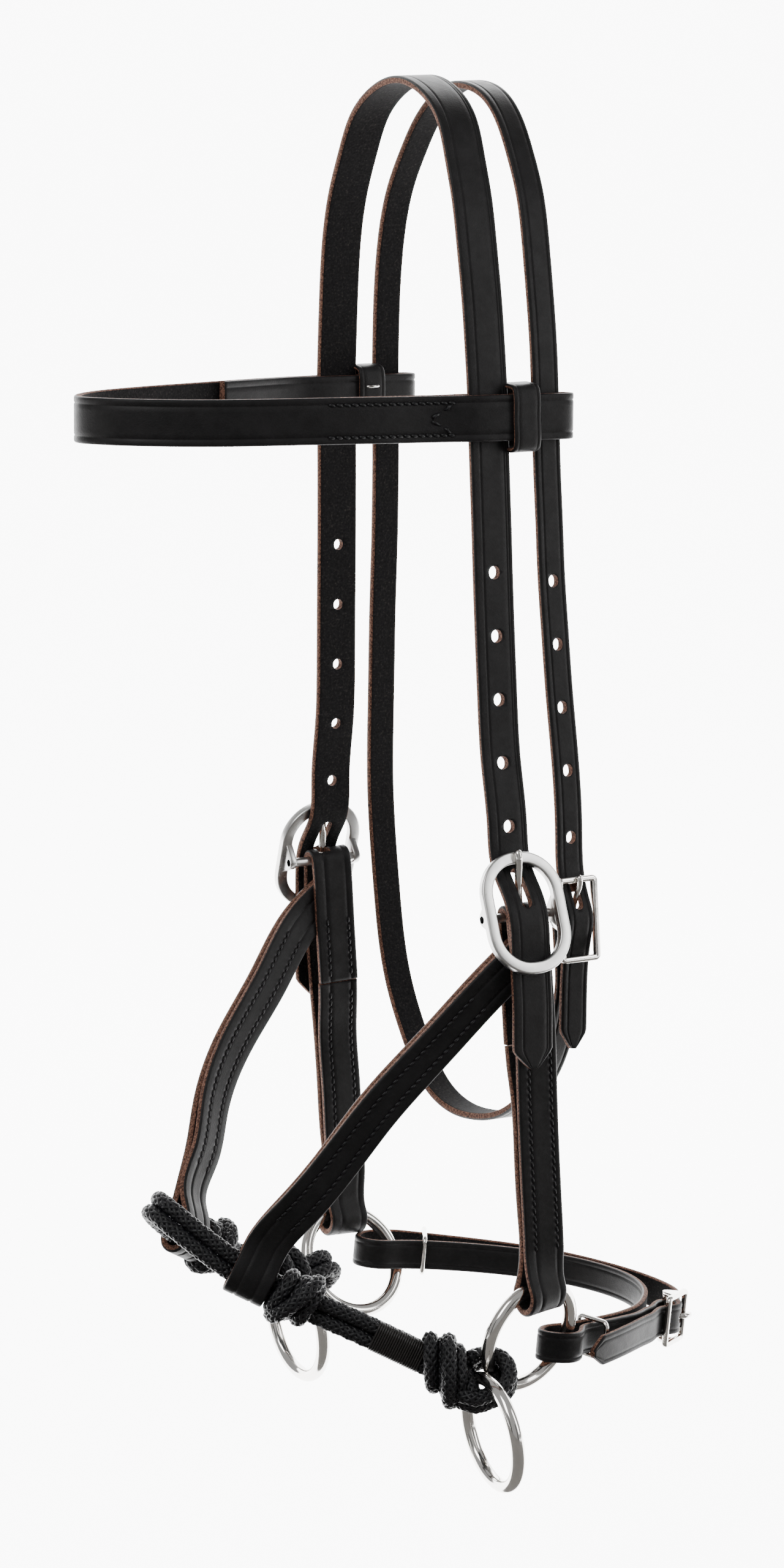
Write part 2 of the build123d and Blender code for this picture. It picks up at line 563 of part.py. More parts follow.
# ---------------------------------------------------------------- write the parts
def main():
    os.makedirs("parts", exist_ok=True)
    save("crown_strap", crown_strap())
    save("throatlatch_strap", throatlatch_strap())
    save("browband_strap", browband_strap())
    frame = throat_buckle_plane()
    save("throat_buckle", frame * small_buckle(THROAT_FRAME, BAR_BACK))
    save("throat_buckle_tongue", frame * buckle_tongue(SMALL_BAR, BAR_BACK, THROAT_FRAME[1] / 2,
                                                       THROAT_FRAME[3] / 2, 1.1))
    frame = curb_buckle_plane()
    save("curb_buckle", frame * small_buckle(CURB_FRAME, SMALL_BACK))
    save("curb_buckle_tongue", frame * buckle_tongue(SMALL_BAR, SMALL_BACK, CURB_FRAME[1] / 2,
                                                     CURB_FRAME[3] / 2, 1.1))
    save("curb_strap", curb_strap())
    save("curb_keeper_near", wire_keeper((44.0, -62.3), 17, 13.2))
    save("curb_keeper_far", wire_keeper((41.0, 73.9), -28, 17.4))
    save("noseband_rope_upper", noseband_strand(True))
    save("noseband_rope_lower", noseband_strand(False))
    for name, side in SIDES.items():
        save(f"browband_keeper_{name}", browband_keeper(side))
        save(f"keeper_staple_{name}", keeper_staple(side))
        frame = buckle_plane(side)
        save(f"cheek_buckle_{name}", frame * cheek_buckle())
        save(f"cheek_buckle_tongue_{name}", frame * buckle_tongue(BAR_RADIUS, BAR_BACK, BUCKLE_LENGTH / 2,
                                                                  BUCKLE_DEPTH / 2, 1.3))
        save(f"cheek_strap_{name}", cheek_strap(name))
        save(f"nose_strap_{name}", nose_strap(name))
        ring_at = Vector(CHEEK_RING_X, side * CHEEK_RING_Y, CHEEK_RING_Z)
        save(f"cheek_ring_{name}", ring(ring_at, cheek_ring_face(name)))
        save(f"rein_ring_{name}", ring(REIN_RING_AT[name], REIN_RING_FACE[name]))
        save(f"ring_knot_{name}", ring_knot(name))
        save(f"ring_bight_{name}", ring_bight(name))
        save(f"nose_knot_{name}", nose_knot(name))
        save(f"whipping_{name}", whipping(name))


main()
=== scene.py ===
import math

import bpy
import numpy as np
from mathutils import Matrix, Vector


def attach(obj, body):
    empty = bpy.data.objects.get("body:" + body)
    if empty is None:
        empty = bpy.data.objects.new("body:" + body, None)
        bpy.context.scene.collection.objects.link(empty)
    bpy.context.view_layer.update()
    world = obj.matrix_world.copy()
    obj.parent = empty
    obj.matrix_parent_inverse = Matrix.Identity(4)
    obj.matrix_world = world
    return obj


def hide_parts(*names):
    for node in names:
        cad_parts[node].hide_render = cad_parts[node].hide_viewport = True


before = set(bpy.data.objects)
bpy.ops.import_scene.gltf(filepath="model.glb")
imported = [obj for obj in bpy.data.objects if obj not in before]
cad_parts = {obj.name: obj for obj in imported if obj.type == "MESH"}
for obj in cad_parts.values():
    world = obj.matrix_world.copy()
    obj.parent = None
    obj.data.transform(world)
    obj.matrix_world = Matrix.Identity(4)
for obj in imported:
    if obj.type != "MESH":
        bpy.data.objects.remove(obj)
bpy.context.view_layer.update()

# Lengths below are in millimetres in the part's frame: +X rear, +Y far side, +Z up.
NEAR, FAR = -1, 1
SIDES = {"near": NEAR, "far": FAR}
LEATHER = 3.1
HOLE_DEPTH = 8.0                 # a hole's cutter, deeper than any strap
X, Y, Z = np.eye(3)


def vec(*a):
    return np.array(a, float)


def unit(v):
    v = np.asarray(v, float)
    return v / np.maximum(np.linalg.norm(v, axis=-1, keepdims=True), 1e-9)


def square_to(v, axis):
    """v with its part along the axis taken out."""
    return unit(v - axis * np.sum(v * axis, axis=-1, keepdims=True))


# ------------------------------------------------------------------ curves
def distances(places):
    """Distance of each place from the first, along the way."""
    return np.r_[0, np.cumsum(np.linalg.norm(np.diff(places, axis=0), axis=1))]


def cubic(knots, values, at):
    """Natural cubic curve through the values, read at the given places."""
    n = len(knots)
    h = np.diff(knots)
    a, b = np.zeros((n, n)), np.zeros((n, values.shape[1]))
    a[0, 0] = a[-1, -1] = 1
    for i in range(1, n - 1):
        a[i, i - 1:i + 2] = h[i - 1], 2 * (h[i - 1] + h[i]), h[i]
        b[i] = 6 * ((values[i + 1] - values[i]) / h[i] - (values[i] - values[i - 1]) / h[i - 1])
    m = np.linalg.solve(a, b)
    k = np.clip(np.searchsorted(knots, at) - 1, 0, n - 2)
    hk = h[k][:, None]
    left, right = (knots[k + 1] - at)[:, None], (at - knots[k])[:, None]
    return (m[k] * left ** 3 + m[k + 1] * right ** 3) / (6 * hk) \
        + (values[k] / hk - m[k] * hk / 6) * left + (values[k + 1] / hk - m[k + 1] * hk / 6) * right


def smooth_path(points, step=1.6, extras=None):
    """Evenly spaced places on a smooth curve through the points; extras are carried along with them."""
    points = np.asarray(points, float)
    knots = distances(points)
    fine = np.linspace(0, knots[-1], max(40, int(knots[-1] / 0.4)))
    run = distances(cubic(knots, points, fine))
    count = max(6, int(run[-1] / step))
    even = np.interp(np.linspace(0, run[-1], count + 1), run, fine)
    places = cubic(knots, points, even)
    if extras is None:
        return places
    return places, np.stack([np.interp(even, knots, extras[:, i]) for i in range(extras.shape[1])], 1)


def headings(places, closed=False):
    if closed:
        return unit(np.roll(places, -1, 0) - np.roll(places, 1, 0))
    return unit(np.gradient(places, axis=0))


def untwisted(along, start):
    """Two axes square to each heading, turning no more along the way than they have to."""
    e1 = np.zeros_like(along)
    last = square_to(np.asarray(start, float)[None], along[:1])[0]
    for i in range(len(along)):
        last = square_to(last[None], along[i:i + 1])[0]
        e1[i] = last
    return e1, np.cross(along, e1)


def arc(centre, start, end, axis, count):
    """Points on a circular arc from start round the centre towards end, about the axis."""
    a, b = start - centre, end - centre
    axis = unit(axis)
    turn = math.atan2(np.dot(np.cross(a, b), axis), np.dot(a, b)) % (2 * math.pi)
    square = np.cross(axis, a)
    return [centre + a * math.cos(t) + square * math.sin(t) for t in np.linspace(0, turn, count)]


def rounded_box(half_x, half_y, radius, per_corner):
    """Points round a rectangle with rounded corners."""
    points = []
    for i, (x, y) in enumerate(((1, 1), (-1, 1), (-1, -1), (1, -1))):
        for k in range(per_corner + 1):
            a = math.radians(90 * (i + k / per_corner))
            points.append((x * (half_x - radius) + radius * math.cos(a),
                           y * (half_y - radius) + radius * math.sin(a)))
    return np.array(points)


# ------------------------------------------------------------------ meshes
def place(obj, body, nodes=()):
    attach(obj, body)
    if nodes:
        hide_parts(*nodes)
    return obj


def make_object(name, verts, faces, materials, face_materials=None):
    mesh = bpy.data.meshes.new(name)
    mesh.from_pydata([tuple(v) for v in np.asarray(verts) * 0.001], [],
                     [tuple(int(i) for i in f) for f in faces])
    for material in materials:
        mesh.materials.append(material)
    if face_materials is not None:
        mesh.polygons.foreach_set("material_index", np.asarray(face_materials, dtype=np.int32))
    mesh.polygons.foreach_set("use_smooth", [True] * len(mesh.polygons))
    mesh.update()
    obj = bpy.data.objects.new(name, mesh)
    bpy.context.scene.collection.objects.link(obj)
    return obj


def grid_faces(rows, cols, wrap_rows=False):
    """Faces between rows of corners, each row a closed ring; wrap_rows joins the last to the first."""
    rr, cc = np.meshgrid(np.arange(rows if wrap_rows else rows - 1), np.arange(cols), indexing="ij")
    rn, cn = (rr + 1) % rows, (cc + 1) % cols
    return np.stack([rr * cols + cc, rr * cols + cn, rn * cols + cn, rn * cols + cc], -1).reshape(-1, 4)


def band_section(width, thickness, grooves):
    """Cross-section of a strap as (across, out, region) with pressed lines in its grain side.
    Regions: 0 grain, 1 flesh, 2 cut edge."""
    half, t = width / 2, thickness / 2
    grain = [(-half, t - 0.9, 0), (-half + 0.12, t - 0.35, 0), (-half + 0.5, t - 0.07, 0)]
    flats = set(np.linspace(-half + 0.9, half - 0.9, 9).round(3))
    marks = []
    for middle, depth, reach in grooves:
        flats = {v for v in flats if abs(v - middle) > reach * 1.3}
        marks += [(middle - reach, 0), (middle - reach * 0.45, depth * 0.7), (middle, depth),
                  (middle + reach * 0.45, depth * 0.7), (middle + reach, 0)]
    top = sorted([(v, 0) for v in flats] + marks)
    grain += [(v, t - d, 0) for v, d in top]
    grain += [(half - 0.5, t - 0.07, 0), (half - 0.12, t - 0.35, 0), (half, t - 0.9, 2)]
    under = [(half + 0.05, 0, 2), (half - 0.05, -t + 0.5, 2), (half - 0.45, -t + 0.05, 1)]
    under += [(v, -t, 1) for v in np.linspace(half - 1.4, -half + 1.4, 6)]
    under += [(-half + 0.45, -t + 0.05, 2), (-half + 0.05, -t + 0.5, 2), (-half - 0.05, 0, 2)]
    return np.array(grain + under, float)


def band(name, points, across, width, body, nodes=(), thickness=LEATHER, side=1, grooves=(),
         tips=(0, 0), closed=False, step=1.6, wobble=0.12):
    """A leather strap along the points. across is one direction or one per point; side picks which
    face is the grain. Returns the object and the frames stitching and holes are placed with."""
    points = np.asarray(points, float)
    across = np.broadcast_to(np.asarray(across, float), points.shape)
    if closed:
        points, across = np.vstack([points, points[:1]]), np.vstack([across, across[:1]])
    places, wide = smooth_path(points, step, across)
    if closed:
        places, wide = places[:-1], wide[:-1]
    along = headings(places, closed)
    wide = square_to(wide, along)
    out = unit(np.cross(wide, along)) * side
    run = distances(places)
    ratio = np.ones(len(places))
    for reach, tip in ((run, tips[0]), (run[-1] - run, tips[1])):
        if tip:
            ratio *= 0.16 + 0.84 * np.clip(reach / tip, 0, 1) ** 0.9
    sway = sum(np.sin(run / w + p) for w, p in ((31, 1.3), (13, 4.1))) * wobble
    section = band_section(width, thickness, grooves)
    rows, cols = len(places), len(section)
    middle = places + wide * sway[:, None] * 0.6
    sideways = wide[:, None] * (section[:, 0][None] * ratio[:, None])[..., None]
    verts = middle[:, None] + sideways + out[:, None] * section[:, 1][None, :, None]
    faces = [list(f) for f in grid_faces(rows, cols, wrap_rows=closed)]
    mats = [int(section[i % cols, 2]) for i in range(len(faces))]
    if side > 0:
        faces = [f[::-1] for f in faces]
    if not closed:
        first, last = list(range(cols)), [(rows - 1) * cols + i for i in range(cols)]
        faces += [first, last[::-1]] if side > 0 else [first[::-1], last]
        mats += [2, 2]
    obj = make_object(name, verts.reshape(-1, 3), faces, [GRAIN, FLESH, EDGE], mats)
    place(obj, body, nodes)
    return obj, {"places": places, "along": along, "wide": wide, "out": out, "run": run, "thick": thickness}


def tube_mesh(places, radius, sides=10, closed=False, twist_from=Z):
    """Round tube along the places; radius may vary along them."""
    rows = len(places)
    e1, e2 = untwisted(headings(places, closed), twist_from)
    angle = np.linspace(0, 2 * np.pi, sides, endpoint=False)
    ring = e1[:, None] * np.cos(angle)[None, :, None] + e2[:, None] * np.sin(angle)[None, :, None]
    radius = np.broadcast_to(np.asarray(radius, float), (rows,))
    verts = places[:, None] + ring * radius[:, None, None]
    faces = [list(f)[::-1] for f in grid_faces(rows, sides, wrap_rows=closed)]
    if not closed:
        faces += [list(range(sides)), [(rows - 1) * sides + i for i in range(sides)][::-1]]
    return verts.reshape(-1, 3), faces


def prism(low, high):
    """Solid between two outlines with the same number of corners."""
    n = len(low)
    faces = [[i, (i + 1) % n, n + (i + 1) % n, n + i] for i in range(n)]
    return np.vstack([low, high]), faces + [list(range(n))[::-1], [n + i for i in range(n)]]


def joined(name, parts, materials):
    """One object from several (verts, faces) pairs."""
    verts, faces, base = [], [], 0
    for v, f in parts:
        verts.append(np.asarray(v))
        faces += [[i + base for i in face] for face in f]
        base += len(v)
    return make_object(name, np.vstack(verts), faces, materials)


def piece(name, parts, material, body, slot, nodes=()):
    """One object of one material from several (verts, faces) pairs, riding on a body."""
    return place(joined(name, parts, [material]), body, nodes)


def finish_edges(obj):
    """Rounds an object's sharp edges."""
    bevel = obj.modifiers.new("edges", "BEVEL")
    bevel.width, bevel.segments, bevel.limit_method = 0.0003, 2, "ANGLE"
    bevel.angle_limit = math.radians(40)


# ------------------------------------------------------------------ materials
def new_material(name, colour, rough, metal=0.0):
    mat = bpy.data.materials.new(name)
    mat.use_nodes = True
    tree = mat.node_tree
    shader = tree.nodes["Principled BSDF"]
    shader.inputs["Base Color"].default_value = (*colour, 1)
    shader.inputs["Roughness"].default_value = rough
    shader.inputs["Metallic"].default_value = metal
    return mat, tree, shader


def texture(tree, kind, output, **settings):
    """A procedural texture in the object's own space."""
    where = tree.nodes.new("ShaderNodeTexCoord")
    node = tree.nodes.new(kind)
    for socket, value in settings.items():
        node.inputs[socket].default_value = value
    tree.links.new(where.outputs["Object"], node.inputs["Vector"])
    return node.outputs[output]


def noise(tree, scale, detail):
    return texture(tree, "ShaderNodeTexNoise", "Fac", Scale=scale, Detail=detail)


def pebbles(tree, scale):
    return texture(tree, "ShaderNodeTexVoronoi", "Distance", Scale=scale)


def ramp(tree, fac, stops):
    node = tree.nodes.new("ShaderNodeValToRGB")
    while len(node.color_ramp.elements) < len(stops):
        node.color_ramp.elements.new(0.5)
    for element, (at, colour) in zip(node.color_ramp.elements, stops):
        element.position, element.color = at, (*colour, 1)
    tree.links.new(fac, node.inputs["Fac"])
    return node.outputs["Color"]


def spread(tree, fac, low, high):
    node = tree.nodes.new("ShaderNodeMapRange")
    node.inputs["To Min"].default_value, node.inputs["To Max"].default_value = low, high
    tree.links.new(fac, node.inputs["Value"])
    return node.outputs["Result"]


def bump(tree, shader, heights):
    """Adds one bump per (height, strength, distance in metres)."""
    last = None
    for height, strength, distance in heights:
        node = tree.nodes.new("ShaderNodeBump")
        node.inputs["Strength"].default_value = strength
        node.inputs["Distance"].default_value = distance
        tree.links.new(height, node.inputs["Height"])
        if last:
            tree.links.new(last, node.inputs["Normal"])
        last = node.outputs["Normal"]
    tree.links.new(last, shader.inputs["Normal"])


def grain_leather():
    mat, tree, shader = new_material("grain_leather", (0.006, 0.0057, 0.006), 0.42)
    stops = [(0.3, (0.0048, 0.0045, 0.0046)), (0.75, (0.0085, 0.008, 0.0083))]
    tree.links.new(ramp(tree, noise(tree, 160, 6), stops), shader.inputs["Base Color"])
    tree.links.new(spread(tree, noise(tree, 260, 5), 0.42, 0.60), shader.inputs["Roughness"])
    shader.inputs["Specular IOR Level"].default_value = 0.13
    bump(tree, shader, [(pebbles(tree, 1500), 0.5, 0.00009), (noise(tree, 2600, 3), 0.35, 0.00006),
                        (noise(tree, 90, 3), 0.3, 0.0002)])
    return mat


def flesh_leather():
    mat, tree, shader = new_material("flesh_leather", (0.03, 0.027, 0.027), 0.92)
    stops = [(0.35, (0.004, 0.0037, 0.004)), (0.58, (0.008, 0.0075, 0.0078)), (0.78, (0.026, 0.022, 0.02))]
    tree.links.new(ramp(tree, noise(tree, 1100, 8), stops), shader.inputs["Base Color"])
    shader.inputs["Specular IOR Level"].default_value = 0.1
    bump(tree, shader, [(noise(tree, 1500, 8), 0.8, 0.00025)])
    return mat


def edge_leather():
    mat, tree, shader = new_material("edge_leather", (0.13, 0.062, 0.043), 0.85)
    stops = [(0.30, (0.014, 0.008, 0.006)), (0.45, (0.066, 0.031, 0.021)), (0.66, (0.17, 0.086, 0.058))]
    tree.links.new(ramp(tree, noise(tree, 1300, 7), stops), shader.inputs["Base Color"])
    shader.inputs["Specular IOR Level"].default_value = 0.12
    bump(tree, shader, [(noise(tree, 1700, 7), 0.8, 0.00022)])
    return mat


def cord_fabric(name, colour, rough):
    mat, tree, shader = new_material(name, colour, rough)
    shader.inputs["Specular IOR Level"].default_value = 0.22
    stops = [(0.3, tuple(0.8 * c for c in colour)), (0.7, tuple(1.3 * c for c in colour))]
    tree.links.new(ramp(tree, noise(tree, 900, 5), stops), shader.inputs["Base Color"])
    bump(tree, shader, [(noise(tree, 4200, 4), 0.3, 0.00006)])
    return mat


def nickel(name, colour, rough, scratch=0.05):
    mat, tree, shader = new_material(name, colour, rough, 1.0)
    tree.links.new(spread(tree, noise(tree, 420, 6), rough - scratch, rough + scratch),
                   shader.inputs["Roughness"])
    bump(tree, shader, [(noise(tree, 300, 3), 0.12, 0.00006)])
    return mat


GRAIN, FLESH, EDGE = grain_leather(), flesh_leather(), edge_leather()
ROPE = cord_fabric("rope_fibre", (0.0042, 0.0043, 0.005), 0.46)
THREAD = cord_fabric("thread", (0.0045, 0.0045, 0.005), 0.42)
WAXED = cord_fabric("waxed_thread", (0.013, 0.0115, 0.0105), 0.36)
POLISHED = nickel("polished_nickel", (0.66, 0.64, 0.61), 0.12)
SATIN = nickel("satin_nickel", (0.46, 0.455, 0.445), 0.30, 0.07)


# ------------------------------------------------------------------ stitches and holes
def stitch_rows(name, strap, spans, body, offsets, thick=0.5):
    """Rows of thread stitches lying in a strap's grooves; spans are (from, to) along its run."""
    pitch = 3.2
    lift = np.array([-0.55, 0.02, 0.02, -0.55])[:, None]
    skew = np.array([-0.22, -0.1, 0.1, 0.22])[:, None]
    parts = []
    for start, end in spans:
        for offset in offsets:
            for i in range(int((end - start) / pitch)):
                middle = start + pitch * (i + 0.5)
                at = np.interp([middle - 1.35, middle - 0.6, middle + 0.6, middle + 1.35], strap["run"],
                               np.arange(len(strap["run"])))
                low = at.astype(int).clip(0, len(strap["run"]) - 2)
                share = (at - low)[:, None]
                spot = strap["places"][low] * (1 - share) + strap["places"][low + 1] * share
                line = spot + strap["wide"][low] * (offset + skew)
                line = line + strap["out"][low] * (strap["thick"] / 2 + lift)
                parts.append(tube_mesh(line, np.array([0.84, 1, 1, 0.84]) * thick, 7))
    piece(name, parts, THREAD, body, "strap_leather")


def punch(obj, cutters):
    """Cuts holes; each cutter is (middle, outward, along, length, width, depth)."""
    sides = 28
    parts = []
    for middle, outward, along, length, width, depth in cutters:
        out = unit(outward)
        down = square_to(np.asarray(along, float)[None], out[None])[0]
        side = np.cross(out, down)
        ring, r = [], width / 2
        for i in range(sides):
            a = 2 * math.pi * i / sides
            slide = (length / 2 - r) * (1 if math.cos(a) >= 0 else -1)
            ring.append(middle + down * (r * math.cos(a) + slide) + side * r * math.sin(a))
        parts.append(prism(np.array(ring) - out * depth / 2, np.array(ring) + out * depth / 2))
    cutter = joined(obj.name + "_cutter", parts, [GRAIN, FLESH, EDGE])
    cutter.data.polygons.foreach_set("material_index", [2] * len(cutter.data.polygons))
    cutter.data.polygons.foreach_set("use_smooth", [False] * len(cutter.data.polygons))
    cut = obj.modifiers.new("holes", "BOOLEAN")
    cut.operation, cut.solver, cut.object = "DIFFERENCE", "EXACT", cutter
    mesh = bpy.data.meshes.new_from_object(obj.evaluated_get(bpy.context.evaluated_depsgraph_get()))
    obj.modifiers.remove(cut)
    obj.data = mesh
    bpy.data.objects.remove(cutter)


def hole_on(strap, distance, length, width):
    """Hole in a strap at a distance along it."""
    i = int(np.clip(np.searchsorted(strap["run"], distance), 1, len(strap["run"]) - 2))
    return (strap["places"][i], strap["out"][i], strap["along"][i], length, width, HOLE_DEPTH)


def run_at_height(strap, z, y_sign):
    """Distance along the strap where its leg on one side is at a height."""
    p = strap["places"]
    pick = np.where(np.sign(p[:, 1]) == y_sign)[0]
    return strap["run"][pick[np.argmin(np.abs(p[pick, 2] - z) + (np.abs(p[pick, 1]) < 30) * 50)]]


# ------------------------------------------------------------------ the straps over the poll
BUCKLE_AT = {"near": vec(-0.4, -87.7, -329.2), "far": vec(-0.4, 87.7, -329.2)}
TILT = math.radians(20)          # a cheek buckle's lower end leans outwards
BAR, BAR_BACK = 1.9, 6.0         # radius of its bar, and the bar's distance behind the frame


def buckle_axes(side):
    """Across, up and out directions of a cheek buckle."""
    out = vec(0, side * math.cos(TILT), math.sin(TILT))
    up = vec(0, -side * math.sin(TILT), math.cos(TILT))
    return X.copy(), up, out


def on_buckle(name, across, down, out):
    e1, up, normal = buckle_axes(SIDES[name])
    return BUCKLE_AT[name] + e1 * across - up * down + normal * out


CROWN_LEG = [
    (19, -2.4), (36.4, -14.7), (44.3, -29.5), (50.8, -44.5), (56.2, -64.5), (59.4, -84.5),
    (61.4, -104.5), (63.0, -124.5), (63.5, -138), (64.0, -155), (64.6, -176), (65.2, -196),
    (66.4, -219.5), (67.7, -244.5), (69.8, -269.5), (74.3, -294.5)]
FIRST_HOLE_Z, HOLE_PITCH, HOLE_COUNT = -194.5, 25.4, 5
CROWN_HOLE = {"near": (5.4, 5.0), "far": (4.6, 4.2)}


def crown():
    def lean(z):
        return -0.5 + 4.0 * np.clip((z + 70) / 70, 0, 1) ** 1.5

    def half(name):
        s = SIDES[name]
        leg = [vec(lean(z), s * y, z) for y, z in CROWN_LEG]
        over_bar = ((-20.5, -3.9), (-9, -0.2), (0, 1.6), (9, 0.0), (21, -4.0))
        tail = [on_buckle(name, 0, down, out) for down, out in over_bar]
        curl = 0.9 if name == "near" else 0.2
        tip = [vec(-0.4, s * 92.2, -366), vec(-0.6, s * (91.5 + curl), -380),
               vec(-0.6, s * (91.2 + 1.6 * curl), -392)]
        return leg + tail + tip

    points = half("near")[::-1] + [vec(lean(0), 0, LEATHER / 2)] + half("far")
    lines = [(-5.0, 0.28, 0.55), (5.9, 0.18, 0.4), (6.9, 0.14, 0.35)]
    obj, strap = band("crown_strap_leather", points, X, 17.6, "headstall", ["crown_strap"],
                      grooves=lines, tips=(7.5, 7.5))
    holes = []
    for name, s in SIDES.items():
        for k in range(HOLE_COUNT):
            at = run_at_height(strap, FIRST_HOLE_Z - HOLE_PITCH * k, s)
            holes.append(hole_on(strap, at, *CROWN_HOLE[name]))
        holes.append(hole_on(strap, run_at_height(strap, -319.8, s), 18, 4.8))
    punch(obj, holes)


THROAT_ARCH = [
    (20, -5.4), (34, -16.5), (43.4, -29.5), (51.9, -44.5), (57.9, -64.5), (61.2, -84.5),
    (63.2, -104.5), (64.2, -124.5), (64.6, -138), (65.0, -155), (66.0, -176), (67.1, -196),
    (69.0, -219.5), (70.9, -244.5)]
THROAT_LOOP = [
    (72.6, -272), (73.6, -300), (70.0, -344), (61.0, -382.8), (50, -402.5), (30.5, -423.3),
    (12.4, -429.8), (-5.5, -430.0), (-26.0, -425.6), (-45.0, -414.5), (-60.0, -398), (-69.0, -380)]
THROAT_YAW = 0.03                # the throatlatch runs this much rearwards per unit to the near side
THROAT_X = 25.6
THROAT_LEAN = math.radians(4)
THROAT_BUCKLE = vec(THROAT_X + THROAT_YAW * 81.5, -81.5, -335.5)


def throat_axes():
    """Across, up and out directions of the throat buckle."""
    across = unit(vec(1, THROAT_YAW, 0))
    out = unit(vec(THROAT_YAW, -1, 0)) * math.cos(THROAT_LEAN) + Z * math.sin(THROAT_LEAN)
    return across, np.cross(out, across), out


def on_throat(up, out, across=0.0):
    e1, e2, e3 = throat_axes()
    return THROAT_BUCKLE + e1 * across + e2 * up + e3 * out


def throatlatch():
    def at(y, z):
        rise = 5.6 * float(np.clip((z + 80) / 80, 0, 1)) ** 1.5
        sway = 2.0 * float(np.clip((z + 300) / 100, 0, 1)) * (y < 0)
        return vec(THROAT_X - THROAT_YAW * y + rise - sway, y, z)

    across, up, out = throat_axes()
    near = [at(-y, z) for y, z in THROAT_ARCH]
    far = [at(y, z) for y, z in THROAT_ARCH + THROAT_LOOP]
    tail = [on_throat(-53, -4.6, -3.0), on_throat(-40, -5.0, -1.6), on_throat(-27, -5.0, -0.6)]
    over_bar = ((-15.5, -3.7), (-6, -0.6), (0, 1.0), (6, -0.6), (15.5, -3.7))
    tail += [on_throat(*spot) for spot in over_bar] + [at(-75.3, -299)]
    bar = on_throat(0, -BAR_BACK)
    fold = [on_throat(-27, -9.8), on_throat(-12, -9.4)]
    fold += arc(bar, bar - out * 3.2, bar - up * 2.0 + out * 2.6, -across, 7)
    points = tail + near[::-1] + [vec(29.3, 0, -1.2)] + far + fold
    obj, strap = band("throatlatch_leather", points, across, 12.0, "headstall",
                      ["throatlatch_strap"], grooves=[(-3.4, 0.28, 0.5), (3.9, 0.2, 0.45)], tips=(7.0, 0))
    heights = (-199.4, -224.3, -250.4, -276, -302.2)
    holes = [hole_on(strap, run_at_height(strap, z, NEAR), 5.2, 4.4) for z in heights]
    holes.append((on_throat(10, -1), out, up, 12, 4.0, 6))
    punch(obj, holes)


# ------------------------------------------------------------------ browband
BROW_Z, BROW_SLOPE, BROW_SWAY = -131.7, 0.0254, 9.0
BROW_FOLD = [
    (-63, 51.1), (-45, 55.4), (-20, 60.3), (-8, 59.1), (8, 59.3), (22, 60.3), (29.5, 60.6),
    (34.2, 61.8), (36.2, 64.8), (34.2, 67.9), (29, 68.8)]
BROW_OUTER = [
    (18, 68.6), (4, 68.3), (-8, 67.2), (-20, 64.1), (-45, 58.7), (-75, 51.2), (-113, 37.8),
    (-139, 23.9), (-150.8, 10.5)]
BROW_LINE = 6.4                  # the two grooves and stitch rows are this far from the middle


def brow_point(x, y):
    """A point of the browband, swayed towards the near side the further forward it is."""
    return vec(x, y - BROW_SWAY * min(max((-x - 20) / 90, 0), 1), BROW_Z - BROW_SLOPE * x)


def swallow_tail(strap, tail, notch):
    """Stitches along the notched end of the turned-in ply, from both rows to the notch."""
    parts = []
    for sign in (-1, 1):
        for first, last in ((0.12, 0.44), (0.62, 0.94)):
            line = []
            for share, lift in zip(np.linspace(first, last, 4), (-0.5, 0.3, 0.3, -0.5)):
                i = int(np.searchsorted(strap["run"], tail + (notch - tail) * share))
                line.append(strap["places"][i] + strap["wide"][i] * sign * BROW_LINE * (1 - share)
                            + strap["out"][i] * (LEATHER / 2 + lift))
            parts.append(tube_mesh(np.array(line), 0.66, 7))
    return parts


def browband():
    half = BROW_FOLD + BROW_OUTER
    points = [brow_point(x, -y) for x, y in half] + [brow_point(-154.3, 0)]
    points += [brow_point(x, y) for x, y in half[::-1]]
    _, strap = band("browband_leather", points, unit(vec(BROW_SLOPE, 0, 1)), 18.5, "browband",
                    ["browband_strap"],
                    grooves=[(-BROW_LINE, 0.3, 0.62), (BROW_LINE, 0.3, 0.62)])
    p, run = strap["places"], strap["run"]
    turns = [int(np.argmax(np.where(s * p[:, 1] > 0, p[:, 0], -999))) for s in SIDES.values()]
    tails = []
    for name, s in SIDES.items():
        outer = np.arange(*turns)
        outer = outer[s * p[outer, 1] > 20]
        front, tail, notch = [run[outer[np.argmin(np.abs(p[outer, 0] - x))]] for x in (-73, -17.5, -26)]
        stitch_rows(f"browband_stitches_{name}", strap, [sorted((front, tail))], "browband",
                    (-BROW_LINE, BROW_LINE), thick=0.68)
        tails += swallow_tail(strap, tail, notch)
    piece("browband_tail_stitches", tails, THREAD, "browband", "strap_leather")


